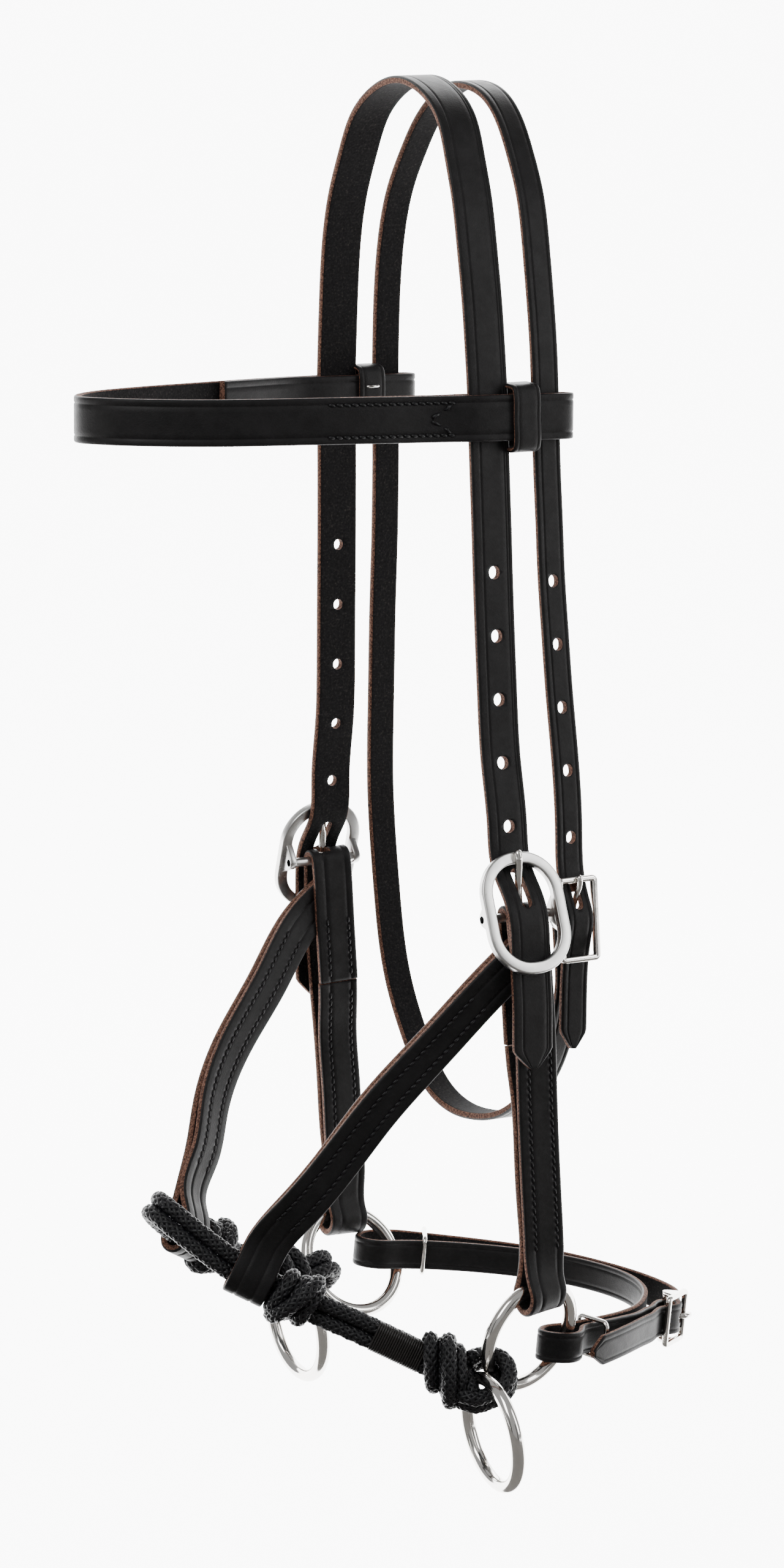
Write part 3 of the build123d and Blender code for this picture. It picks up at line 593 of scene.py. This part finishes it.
def keeper(name):
    """Leather loop round the browband between the two legs, closed by a staple inside."""
    s = SIDES[name]
    inner, outer, low, high = 56.6, 71.0, -145.0, -119.6
    x, y, z = 13.0, (outer + inner) / 2, (low + high) / 2
    r, cut, swell = 2.6, 0.8, 0.1    # corner radius, its diagonal, and how far the sides swell
    corners = [
        (outer - r, high), (outer - cut, high - cut), (outer, high - r), (outer + swell, z),
        (outer, low + r), (outer - cut, low + cut), (outer - r, low), (y, low - 2 * swell),
        (inner + r, low), (inner + cut, low + cut), (inner, low + r), (inner - swell, z),
        (inner, high - r), (inner + cut, high - cut), (inner + r, high), (y, high + 2 * swell)]
    band(f"browband_keeper_{name}_leather", [vec(x, s * across, up) for across, up in corners], X, 12.0,
         "browband", [f"browband_keeper_{name}"], thickness=2.0, side=s, closed=True,
         step=0.9, grooves=[(-4.2, 0.12, 0.35), (4.2, 0.12, 0.35)], wobble=0.05)
    at = vec(x - 0.2, s * (inner - 1.3), z + 5)
    bends = ((-2.6, 1.4), (-2.5, -0.1), (-1.9, -0.5), (1.9, -0.5), (2.5, -0.1), (2.6, 1.4))
    places = smooth_path([at + X * dx + Y * s * dy for dx, dy in bends], 0.3)
    piece(f"keeper_staple_{name}_wire", [tube_mesh(places, 0.6)], POLISHED, "browband", "nickel_wire",
          [f"keeper_staple_{name}"])


# ------------------------------------------------------------------ buckles
def loop_outline(width, length, corner, rail, per_corner=12):
    """Middle line of a rounded-rectangle frame's rail, as (across, up)."""
    return rounded_box((width - rail) / 2, (length - rail) / 2, max(corner - rail / 2, 0.4), per_corner)


def frame_mesh(origin, axes, width, length, corner, rail, depth, round_off):
    """Frame of a buckle: a rounded-off bar run round its outline."""
    e1, e2, e3 = axes
    path = loop_outline(width, length, corner, rail)
    heading = unit(np.roll(path, -1, 0) - np.roll(path, 1, 0))
    outward = np.c_[heading[:, 1], -heading[:, 0]]
    section = rounded_box(rail / 2, depth / 2, round_off, 4)
    verts = []
    for p, n in zip(path, outward):
        for a, b in section:
            q = p + n * a
            verts.append(origin + e1 * q[0] + e2 * q[1] + e3 * b)
    return verts, [list(f) for f in grid_faces(len(path), len(section), wrap_rows=True)]


def bar_and_lugs(origin, axes, half_width, bar, back, lug_half, lug_thick):
    """Centre bar set back behind the frame, and the two lugs that hold it."""
    e1, e2, e3 = axes
    ends = np.linspace(-half_width - lug_thick / 2, half_width + lug_thick / 2, 9)
    parts = [tube_mesh(np.array([origin + e1 * x - e3 * back for x in ends]), bar, 20, twist_from=e2)]
    flank = [(lug_half, -0.2), (bar * 1.3, -back - bar * 0.5), (bar * 0.6, -back - bar * 1.05)]
    outline = [(-a, b) for a, b in flank] + flank[::-1]
    for s in (-1, 1):
        sides = [[origin + e1 * (s * half_width + dx) + e2 * a + e3 * b for a, b in outline]
                 for dx in (-lug_thick / 2, lug_thick / 2)]
        parts.append(prism(*sides))
    return parts


def tongue_parts(origin, axes, bar, back, reach, rest, radius, eye_width):
    """Tongue of a buckle: an eye round the bar and a wire that rests on the frame."""
    e1, e2, e3 = axes
    section = [(-eye_width / 2, 0.15), (-eye_width / 2 + 0.4, 1.3), (eye_width / 2 - 0.4, 1.3),
               (eye_width / 2, 0.15)]
    verts = []
    for a in np.radians(range(0, 360, 12)):
        outward = e2 * math.cos(a) + e3 * math.sin(a)
        verts += [origin - e3 * back + e1 * x + outward * (bar + 0.1 + h) for x, h in section]
    eye = (verts, [list(f) for f in grid_faces(len(verts) // 4, 4, wrap_rows=True)])
    route = ((1.2, -back + bar), (reach * 0.45, -back * 0.25), (reach - 4.5, rest - 0.7),
             (reach - 2.2, rest), (reach + 0.2, rest - 0.1))
    places = smooth_path([origin + e2 * u + e3 * w for u, w in route], 0.5)
    share = np.linspace(0, 1, len(places))
    rounding = np.sqrt(np.clip(1 - ((share - 0.93) / 0.075) ** 2, 0.02, 1))
    size = radius * (1.0 + 0.12 * share) * np.where(share > 0.93, rounding, 1)
    return [eye, tube_mesh(places, size, 14, twist_from=e1)]


def cheek_buckle(name):
    axes = buckle_axes(SIDES[name])
    at = BUCKLE_AT[name]
    steel = SATIN, "headstall", "satin_buckle_steel"
    piece(f"cheek_buckle_{name}_frame", [frame_mesh(at, axes, 37.3, 50.0, 17.5, 4.8, 3.7, 0.75)], *steel,
          [f"cheek_buckle_{name}"])
    finish_edges(piece(f"cheek_buckle_{name}_bar",
                       bar_and_lugs(at, axes, 15.4, BAR, BAR_BACK, 7.6, 3.0), *steel))
    piece(f"cheek_buckle_tongue_{name}_wire", tongue_parts(at, axes, BAR, BAR_BACK, 25.2, 3.3, 1.45, 4.0),
          POLISHED, f"cheek_tongue_{name}", "nickel_wire", [f"cheek_buckle_tongue_{name}"])


def small_buckle(label, at, axes, size, back, body, tongue_body):
    """Square wire buckle; size is (width, length, rail, depth)."""
    width, length, rail, depth = size
    nickel_frame = POLISHED, body, "nickel_buckle"
    piece(f"{label}_frame", [frame_mesh(at, axes, width, length, 2.6, rail, depth, 0.85)], *nickel_frame,
          [label])
    finish_edges(piece(f"{label}_bar", bar_and_lugs(at, axes, (width - rail) / 2, 1.5, back, 4.6, 1.8),
                       *nickel_frame))
    tongue = tongue_parts(at, axes, 1.5, back, length / 2 + 0.4, depth / 2 + 1.15, 1.15, 3.6)
    piece(f"{label}_tongue_wire", tongue, POLISHED, tongue_body, "nickel_wire", [f"{label}_tongue"])


# ------------------------------------------------------------------ rings
RING_R, WIRE_R = 22.6, 2.8
RING_FACE = {"near": (13.4, 16.2), "far": (-7.8, 27.8)}
RING_AT = {"near": vec(6.3, -75.3, -506.9), "far": vec(6.3, 75.3, -506.9)}
REIN_AT = {"near": vec(-16.0, -83.0, -542.8), "far": vec(-19.8, 77.1, -532.1)}
REIN_FACE = {"near": vec(-0.989, 0.071, -0.128), "far": vec(-0.99, 0, -0.1)}


def cheek_ring_axes(name):
    yaw, lean = (math.radians(v) for v in RING_FACE[name])
    s = SIDES[name]
    normal = vec(math.sin(yaw) * math.cos(lean), s * math.cos(yaw) * math.cos(lean), -math.sin(lean))
    e1 = square_to(X[None], normal[None])[0]
    return e1, np.cross(e1, normal) * s, normal


def ring(name, centre, normal, body, node):
    e1 = square_to((X if abs(normal[0]) < 0.8 else Y)[None], normal[None])[0]
    e2 = np.cross(normal, e1)
    verts = []
    for t in np.linspace(0, 2 * np.pi, 144, endpoint=False):
        outward = math.cos(t) * e1 + math.sin(t) * e2
        for a in np.linspace(0, 2 * np.pi, 28, endpoint=False):
            verts.append(centre + RING_R * outward + WIRE_R * (math.cos(a) * outward + math.sin(a) * normal))
    faces = [list(f)[::-1] for f in grid_faces(144, 28, wrap_rows=True)]
    piece(name, [(verts, faces)], POLISHED, body, "nickel_ring", [node])


# ------------------------------------------------------------------ cheeks
CHEEK_LEAN = 0.0465              # a cheek strap runs this much rearwards per unit downwards
CHEEK_GROOVES = (-4.3, 5.8)
CHEEK_TOP = [(78.3, -383.8), (78.3, -366), (78.3, -352), (78.2, -342)]
CHEEK_FRONT = [(87.0, -343), (87.7, -354), (88.1, -372), (86.7, -400), (85.8, -430), (85.5, -455),
               (85.0, -470)]
CHEEK_BACK = [(81.8, -470), (82.0, -455), (81.7, -430), (81.6, -405), (79.6, -392), (79.0, -384.3)]


def cheek(name):
    """Folded strap: butt end inside, over the buckle's bar, down outside, round the ring, up inside."""
    s = SIDES[name]
    wire_dir, down, _ = cheek_ring_axes(name)
    bar = on_buckle(name, 0, 0, -BAR_BACK) * vec(1, s, 1)
    round_bar = [(bar[1] + 3.7 * math.sin(a), bar[2] + 3.7 * math.cos(a))
                 for a in np.radians([-100, -60, -20, 20, 60, 100])]
    wire = RING_AT[name] + RING_R * down
    eye_y, eye_z, eye_r = s * wire[1] + (0.6 if s < 0 else -0.1), wire[2] - 2.2, 6.75
    eye = [(eye_y + eye_r * math.cos(a), eye_z + eye_r * math.sin(a))
           for a in np.radians([42, 8, -35, -75, -105, -145, -188, -222])]
    spine = CHEEK_TOP + round_bar + CHEEK_FRONT + eye + CHEEK_BACK
    points = np.array([vec(2.0 + (-345 - z) * CHEEK_LEAN, s * y, z) for y, z in spine])
    across = np.tile(unit(vec(1, 0, CHEEK_LEAN)), (len(spine), 1))
    first = len(CHEEK_TOP + round_bar + CHEEK_FRONT)
    across[first:first + len(eye)] = unit(wire_dir)
    points[first:first + len(eye), 0] = RING_AT[name][0] + 1.2
    obj, strap = band(f"cheek_strap_{name}_leather", points, across, 18.0, "headstall",
                      [f"cheek_strap_{name}"], side=s, step=1.3,
                      grooves=[(at, 0.34, 0.65) for at in CHEEK_GROOVES])
    _, up, out = buckle_axes(s)
    punch(obj, [(on_buckle(name, -1.0, -3.6, -4.2), out, up, 11.0, 5.6, 7.0)])
    p, run = strap["places"], strap["run"]
    outer = np.where(s * p[:, 1] > 84.2)[0]
    start, end = [run[outer[np.argmin(np.abs(p[outer, 2] - z))]] for z in (-358, -470)]
    stitch_rows(f"cheek_stitches_{name}", strap, [(start + 6, end)], "headstall", CHEEK_GROOVES)
    stitch_rows(f"cheek_inner_stitches_{name}", strap, [(2, 30), (run[-1] - 84, run[-1] - 3)], "headstall",
                CHEEK_GROOVES)


# ------------------------------------------------------------------ rope noseband
ROPE_R = 3.175
STEP = 6.5                       # between the two strands' middles
ROPE_STEP = 0.75                 # between places along a cord
STRAND_DIR = unit(vec(0.66, 0, 0.75))
STACK_DIR = {"near": vec(0.527, -0.377, 0.762), "far": vec(0.46, 0.30, 0.84)}
KNOT_AT = {"near": vec(-28.7, -70.6, -518), "far": vec(-29.5, 68.6, -510)}
WRAP_AT = {"near": vec(-97.5, -30, -478), "far": vec(-96, 31.5, -473)}
APEX = [vec(-119.5, -12, -458), vec(-124.5, 0, -451.5), vec(-119, 12, -455.5)]


def rope_heading(name):
    return unit(KNOT_AT[name] - WRAP_AT[name])


def strand_up(name):
    """From the lower strand to the upper one."""
    return square_to(STACK_DIR[name][None], rope_heading(name)[None])[0]


def braid(points, radius=ROPE_R, step=ROPE_STEP):
    """Braided cord along the points: two sets of yarns that cross over and under."""
    carriers, period = 7, 3.0
    places = smooth_path(points, step)
    run = distances(places)
    e1, e2 = untwisted(headings(places), unit(vec(0.3, 0.2, 1)))
    pitch = period * carriers
    yarn = 2 * math.pi * radius / (carriers * 2) * 0.64
    parts = [tube_mesh(places, radius * 0.8)]
    for hand, phase in ((1, 0), (-1, np.pi)):
        for k in range(carriers):
            spin = hand * 2 * np.pi * run / pitch + 2 * np.pi * k / carriers
            weave = np.cos(carriers * 2 * np.pi * run / pitch + phase + np.pi * k)
            reach = radius - yarn * 0.85 + 0.24 * weave
            line = places + (e1 * np.cos(spin)[:, None] + e2 * np.sin(spin)[:, None]) * reach[:, None]
            parts.append(tube_mesh(line, yarn, 6))
    return parts


def cord(name, parts, node):
    piece(name, parts, ROPE, "headstall", "braided_rope", [node])


def noseband():
    for label, sign in (("upper", 1), ("lower", -1)):
        shift = {name: strand_up(name) * sign * STEP / 2 for name in SIDES}
        near, far = [[at[name] + shift[name] for at in (KNOT_AT, WRAP_AT)] for name in SIDES]
        route = [near[0], (near[0] + near[1]) / 2, near[1]]
        route += [p + STRAND_DIR * sign * STEP / 2 for p in APEX]
        route += [far[1], (far[1] + far[0]) / 2, far[0]]
        cord(f"noseband_rope_{label}_braid", braid(route), f"noseband_rope_{label}")


def coil_knot(label, middle, heading, up, turns, spacing, half_up, half_out, node, swing=1, slant=0.0):
    """Knot of braided cord wound round both strands, with one crossing turn over the top."""
    out = np.cross(heading, up)
    count = int(turns * 26)
    line = []
    for i in range(count + 1):
        a = 2 * math.pi * turns * i / count
        share = i / count - 0.5
        line.append(middle + heading * (share * turns * spacing * swing - slant * math.cos(a))
                    + up * half_up * math.cos(a) + out * half_out * math.sin(a))
    crossing = []
    for i in range(22):
        a = 2 * math.pi * i / 26
        lift = 2.6 + 1.2 * math.sin(a)
        crossing.append(middle - heading * swing * spacing * 0.95 * math.cos(a)
                        + up * (half_up + lift) * math.cos(a) + out * (half_out + lift) * math.sin(a))
    cord(label, sum((braid(points, ROPE_R * 0.98, 0.8) for points in (line, crossing)), []), node)


BIGHT_AT = {"near": vec(-14.2, -76.3, -521.5), "far": vec(-15.4, 71.3, -510.6)}
BIGHT_ACROSS = {"near": vec(0.394, 0.636, -0.663), "far": vec(0.288, -0.676, -0.679)}


def bight(name):
    """Doubled cord from the ring knot round both rings' wires."""
    across = unit(BIGHT_ACROSS[name])
    back = square_to(X[None], across[None])[0]
    up = np.cross(across, back) * (5.9 + ROPE_R)
    reach = back * (5.9 + ROPE_R)
    leg = ((14, 0.4), (8.5, 0.95), (3, 1))
    parts = []
    for k in (-1, 1):
        centre = BIGHT_AT[name] + across * k * (ROPE_R + 0.1)
        line = [centre - back * d + up * t for d, t in leg]
        line += [centre + reach * math.sin(a) + up * math.cos(a) for a in np.linspace(0.0, math.pi, 9)]
        line += [centre - back * d - up * t for d, t in leg[::-1]]
        parts += braid(line)
        parts += braid([centre - back * 8.4 + up * t for t in (-0.75, -0.4, 0, 0.4, 0.75)])
    cord(f"ring_bight_{name}_braid", parts, f"ring_bight_{name}")


def whipping(name):
    """Thread wound closely round both strands in front of the ring knot, with a few loose ends."""
    heading, up = rope_heading(name), strand_up(name)
    out = np.cross(heading, up)
    middle = KNOT_AT[name] - heading * 23.0
    turns, per_turn, length = 22, 32, 22.0
    line = []
    for i in range(turns * per_turn + 1):
        a = 2 * math.pi * i / per_turn
        c = math.cos(a)
        strand = (STEP / 2 - 0.3) * (1 if c >= 0 else -1) * min(1.0, abs(c) * 6)
        line.append(middle + heading * (i / (turns * per_turn) - 0.5) * length
                    + up * (strand + (ROPE_R + 0.15) * c) + out * (ROPE_R + 0.3) * math.sin(a))
    parts = [tube_mesh(np.array(line), 0.47, 6, twist_from=heading)]
    for k in range(7):
        start = middle - heading * 11.2 + up * (-5 + 1.7 * k) + out * (3.2 * math.cos(k))
        tail = [start, start - heading * 1.6 + up * 0.5 * math.sin(3 * k),
                start - heading * (2.4 + 0.9 * math.sin(5 * k)) + out * math.cos(4 * k)]
        parts.append(tube_mesh(smooth_path(tail, 0.4), 0.22, 5))
    piece(f"whipping_{name}_thread", parts, WAXED, "headstall", "whipping_thread", [f"whipping_{name}"])


# ------------------------------------------------------------------ nose straps
NOSE_MIDDLE = {
    "near": [(2, -82.8, -346), (-11.2, -82, -356.3), (-33.6, -73.6, -381), (-57, -65.2, -407),
             (-72.4, -56.8, -429.8), (-85.0, -47.8, -448)],
    "far": [(2, 82.8, -346), (-11.2, 82, -356.3), (-32.6, 73.6, -379), (-55.0, 65.2, -403.5),
            (-70.2, 56.0, -425.5), (-80.0, 46.0, -443)],
}
NOSE_GROOVES = (-3.6, 3.6)
PLY_GAP = 1.6                    # from the nose strap's middle to each ply's


def towards(side, direction):
    """The direction, or its opposite, whichever points to the given side of the horse."""
    return direction * (1 if direction[1] * side > 0 else -1)


def nose_strap(name):
    """Two plies from the cheek's pocket, folded round both strands of the noseband."""
    s = SIDES[name]
    heading, up, wrap = rope_heading(name), strand_up(name), WRAP_AT[name]
    out = towards(s, np.cross(heading, up))
    middle = [vec(*p) for p in NOSE_MIDDLE[name]] + [wrap + up * 15.5 + out * 1.4]
    lengths = distances(np.array(middle))
    leg = lengths[-1]
    first = unit(vec(0.79, 0, -0.61))
    widths = [unit(first * (1 - (l / leg) ** 1.6) + heading * (l / leg) ** 1.6) for l in lengths]
    travel = unit(np.gradient(np.array(middle), axis=0))
    square = [towards(s, unit(np.cross(w, t))) * PLY_GAP for w, t in zip(widths, travel)]
    inner, outer = ([p + n * k for p, n in zip(middle, square)] for k in (-1, 1))
    r = ROPE_R + 0.3 + LEATHER / 2
    side_on = [(STEP / 2 + 4.0, r - 1.0), (STEP / 2, r), (-STEP / 2, r)]
    loop = [wrap + up * u - out * w for u, w in side_on]
    loop += [wrap - up * (STEP / 2 + r * math.sin(a)) - out * r * math.cos(a)
             for a in np.radians([30, 60, 90, 120, 150])]
    loop += [wrap + up * u + out * w for u, w in side_on[::-1]]
    across = widths + [heading] * len(loop) + widths[::-1]
    _, strap = band(f"nose_strap_{name}_leather", inner + loop + outer[::-1], across, 17.3, "headstall",
                    [f"nose_strap_{name}"], side=-s, step=1.4,
                    grooves=[(at, 0.36, 0.65) for at in NOSE_GROOVES])
    total = strap["run"][-1]
    stitch_rows(f"nose_stitches_{name}", strap, [(total - leg + 12, total - 26)], "headstall", NOSE_GROOVES)
    stitch_rows(f"nose_inner_stitches_{name}", strap, [(26, leg - 12)], "headstall", NOSE_GROOVES)


# ------------------------------------------------------------------ curb strap
CURB_UP = unit(vec(0.09, -0.064, 1))
CURB_WIDTH = 12.7
CURB_ROUTE = [
    (85.4, -42.8), (79.4, -46.9), (72, -52.2), (62, -56.6), (52, -60.0), (43, -62.7), (37.4, -65.4),
    (33.9, -70.2), (29, -74.2), (21.5, -73.8), (16.1, -68.2), (20, -62.8), (30, -60.8), (44, -57.4),
    (60, -51.8), (76, -43.0), (88.5, -30.5), (97.5, -16), (101.3, 0), (98, 20), (86, 39.5), (66, 55),
    (48, 64.0), (36, 68.4), (26, 70.4), (17, 72.0), (11.7, 79.0), (17, 86.2), (26, 87.5), (34, 85.5),
    (42, 80.6), (52, 74.4), (66, 65.0), (85, 48.5), (99, 28), (107, 10), (110.8, -8), (108.6, -25),
    (102.4, -35.0), (97.4, -43.6), (88.0, -46.1), (80, -52.6), (72, -58.2), (62, -64.6), (53, -69.6),
    (44.5, -73.5), (35.5, -76.8)]
CURB_DROOP = (-0.3, -0.9, -1.7, -2.6)   # how far the last points of the tip hang down
CURB_TURN = math.radians(36)
CURB_BUCKLE = (97.0, -43.0)


def curb_point(x, y):
    """A point on the plane in which the curb strap runs."""
    return vec(x, y, -508.1 - 0.09 * x + 0.064 * y)


def curb_axes():
    """Across the strap, along it rearwards, and outwards."""
    along = unit(square_to(vec(math.cos(CURB_TURN), math.sin(CURB_TURN), 0)[None], CURB_UP[None])[0])
    out = np.cross(along, CURB_UP)
    return np.cross(along, out), along, out


def curb():
    points = [curb_point(x, y) for x, y in CURB_ROUTE]
    for i, dz in enumerate(CURB_DROOP, len(points) - len(CURB_DROOP)):
        points[i] = points[i] + Z * dz
    at = curb_point(*CURB_BUCKLE)
    _, along, out = curb_axes()
    bar = at - out * 5.0
    start = [bar + (along * math.cos(a) + out * math.sin(a)) * 2.9
             for a in np.radians([60, 30, 0, -30, -60, -90])]
    start.append(bar - along * 4.2 - out * 3.0)
    obj, _ = band("curb_strap_leather", start + points, CURB_UP, CURB_WIDTH, "curb",
                  ["curb_strap"], thickness=2.6, grooves=[(-4.2, 0.26, 0.5), (4.2, 0.26, 0.5)],
                  tips=(0, 6.5), step=1.3)
    punch(obj, [(at + along * 6 - out, out, along, 13, 4.0, 6),
                (bar + along * 2.0 + out * 1.0, out, along, 9, 5.0, 5.6)])


def wire_keeper(name, middle_xy, degrees, depth):
    """Wire loop round the curb strap's plies, depth being their thickness together."""
    turn = math.radians(degrees)
    along = square_to(vec(math.cos(turn), math.sin(turn), 0)[None], CURB_UP[None])[0]
    out = np.cross(along, CURB_UP)
    outline = loop_outline(depth + 4.4, CURB_WIDTH + 0.8 + 4.4, 3.4, 2.2, 8)
    places = np.array([curb_point(*middle_xy) + out * a + CURB_UP * b for a, b in outline])
    piece(f"curb_keeper_{name}_wire", [tube_mesh(places, 1.0, 14, closed=True, twist_from=along)], POLISHED,
          f"wire_keeper_{name}", "nickel_wire", [f"curb_keeper_{name}"])


# ------------------------------------------------------------------ studio
def stage_piece(name, verts, faces, material, at=(0, 0, 0), turn=-29):
    """A sheet of the studio, in metres, turned about the vertical by degrees."""
    mesh = bpy.data.meshes.new(name)
    mesh.from_pydata(verts, [], faces)
    mesh.polygons.foreach_set("use_smooth", [True] * len(mesh.polygons))
    mesh.materials.append(material)
    obj = bpy.data.objects.new(name, mesh)
    bpy.context.scene.collection.objects.link(obj)
    obj.location, obj.rotation_euler[2] = at, math.radians(turn)


def studio():
    """Pale sweep under and behind the object, a grey card on the floor in front of it, and two dark
    panels for the metal to mirror."""
    sweep = []
    for d, h in ((-2.6, -0.72), (1.6, -0.72), (2.4, -0.62), (2.9, -0.2), (3.1, 0.6), (3.1, 2.6)):
        sweep += [(-4.5, d, h), (4.5, d, h)]
    paper, _, shader = new_material("paper", (0.9, 0.9, 0.9), 0.9)
    shader.inputs["Emission Color"].default_value = (1, 1, 1, 1)
    shader.inputs["Emission Strength"].default_value = 7.5
    stage_piece("backdrop", sweep, [[2 * i, 2 * i + 1, 2 * i + 3, 2 * i + 2] for i in range(5)], paper)
    quad = [(0, 1, 2, 3)]
    grey = new_material("grey_card", (0.12, 0.115, 0.11), 0.9)[0]
    stage_piece("floor_card", [(-2.5, -2.5, -0.7), (2.5, -2.5, -0.7), (2.5, 0.05, -0.7), (-2.5, 0.05, -0.7)],
                quad, grey)
    dark = new_material("dark_panel", (0.02, 0.02, 0.02), 0.8)[0]
    w, h = 0.35, 0.9
    for i, (at, turn) in enumerate((((-2.3, -1.0, -0.2), -62), ((0.35, -2.6, -0.3), 8))):
        stage_piece(f"panel{i}", [(-w, 0, -h), (w, 0, -h), (w, 0, h), (-w, 0, h)], quad, dark, at, turn)


def area_light(name, at, aim, size, power):
    light = bpy.data.lights.new(name, "AREA")
    light.shape, light.size, light.size_y, light.energy = "RECTANGLE", size[0], size[1], power
    obj = bpy.data.objects.new(name, light)
    bpy.context.scene.collection.objects.link(obj)
    obj.location = at
    obj.rotation_euler = (Vector(aim) - Vector(at)).to_track_quat("-Z", "Y").to_euler()


def lights():
    area_light("key", (-1.6, -0.9, 1.2), (0, 0, -0.3), (0.9, 1.5), 44)
    area_light("fill", (1.4, -1.7, 0.5), (0, 0, -0.3), (0.7, 1.6), 26)
    area_light("rim", (0.6, 1.2, 1.0), (0, 0, -0.25), (1.2, 0.6), 16)
    world = bpy.data.worlds.new("studio")
    world.use_nodes = True
    world.node_tree.nodes["Background"].inputs["Color"].default_value = (1, 1, 1, 1)
    world.node_tree.nodes["Background"].inputs["Strength"].default_value = 0.5
    bpy.context.scene.world = world


def camera():
    cam = bpy.data.cameras.new("camera")
    cam.lens, cam.sensor_width, cam.sensor_fit = 122.4, 36.0, "AUTO"
    cam.dof.use_dof = False
    cam.clip_start, cam.clip_end = 0.05, 50
    obj = bpy.data.objects.new("camera", cam)
    bpy.context.scene.collection.objects.link(obj)
    azimuth, elevation, roll = math.radians(-29.09), math.radians(8.81), math.radians(-0.90)
    back = vec(math.sin(azimuth) * math.cos(elevation), -math.cos(azimuth) * math.cos(elevation),
               math.sin(elevation))
    flat_right = vec(math.cos(azimuth), math.sin(azimuth), 0)
    flat_up = np.cross(back, flat_right)
    right = math.cos(roll) * flat_right + math.sin(roll) * flat_up
    up = -math.sin(roll) * flat_right + math.cos(roll) * flat_up
    turn = Matrix([[right[i], up[i], back[i]] for i in range(3)])
    obj.matrix_world = Matrix.Translation(Vector((-1.0699, -1.9017, 0.0503))) @ turn.to_4x4()
    bpy.context.scene.camera = obj


def build():
    crown()
    throatlatch()
    browband()
    noseband()
    curb()
    wire_keeper("near", (44.0, -62.3), 17, 13.2)
    wire_keeper("far", (41.0, 73.9), -28, 17.4)
    small_buckle("throat_buckle", THROAT_BUCKLE, throat_axes(), (19.2, 35.0, 2.6, 3.0), BAR_BACK,
                 "headstall", "throat_tongue")
    small_buckle("curb_buckle", curb_point(*CURB_BUCKLE), curb_axes(), (22.4, 20.6, 2.3, 2.4), 5.0, "curb",
                 "curb_tongue")
    for name in SIDES:
        keeper(name)
        cheek_buckle(name)
        cheek(name)
        nose_strap(name)
        ring(f"cheek_ring_{name}_wire", RING_AT[name], cheek_ring_axes(name)[2], f"ring_{name}",
             f"cheek_ring_{name}")
        ring(f"rein_ring_{name}_wire", REIN_AT[name], unit(REIN_FACE[name]), f"rein_ring_body_{name}",
             f"rein_ring_{name}")
        heading, up = rope_heading(name), strand_up(name)
        coil_knot(f"ring_knot_{name}_braid", KNOT_AT[name] + up * 0.3, heading, up, 3, 6.4, 8.8, 6.0,
                  f"ring_knot_{name}", slant=3.6)
        coil_knot(f"nose_knot_{name}_braid", WRAP_AT[name] + heading * 19.6, heading, up, 2.5, 6.0, 7.6, 5.4,
                  f"nose_knot_{name}", swing=-1)
        bight(name)
        whipping(name)


build()
studio()
lights()
camera()
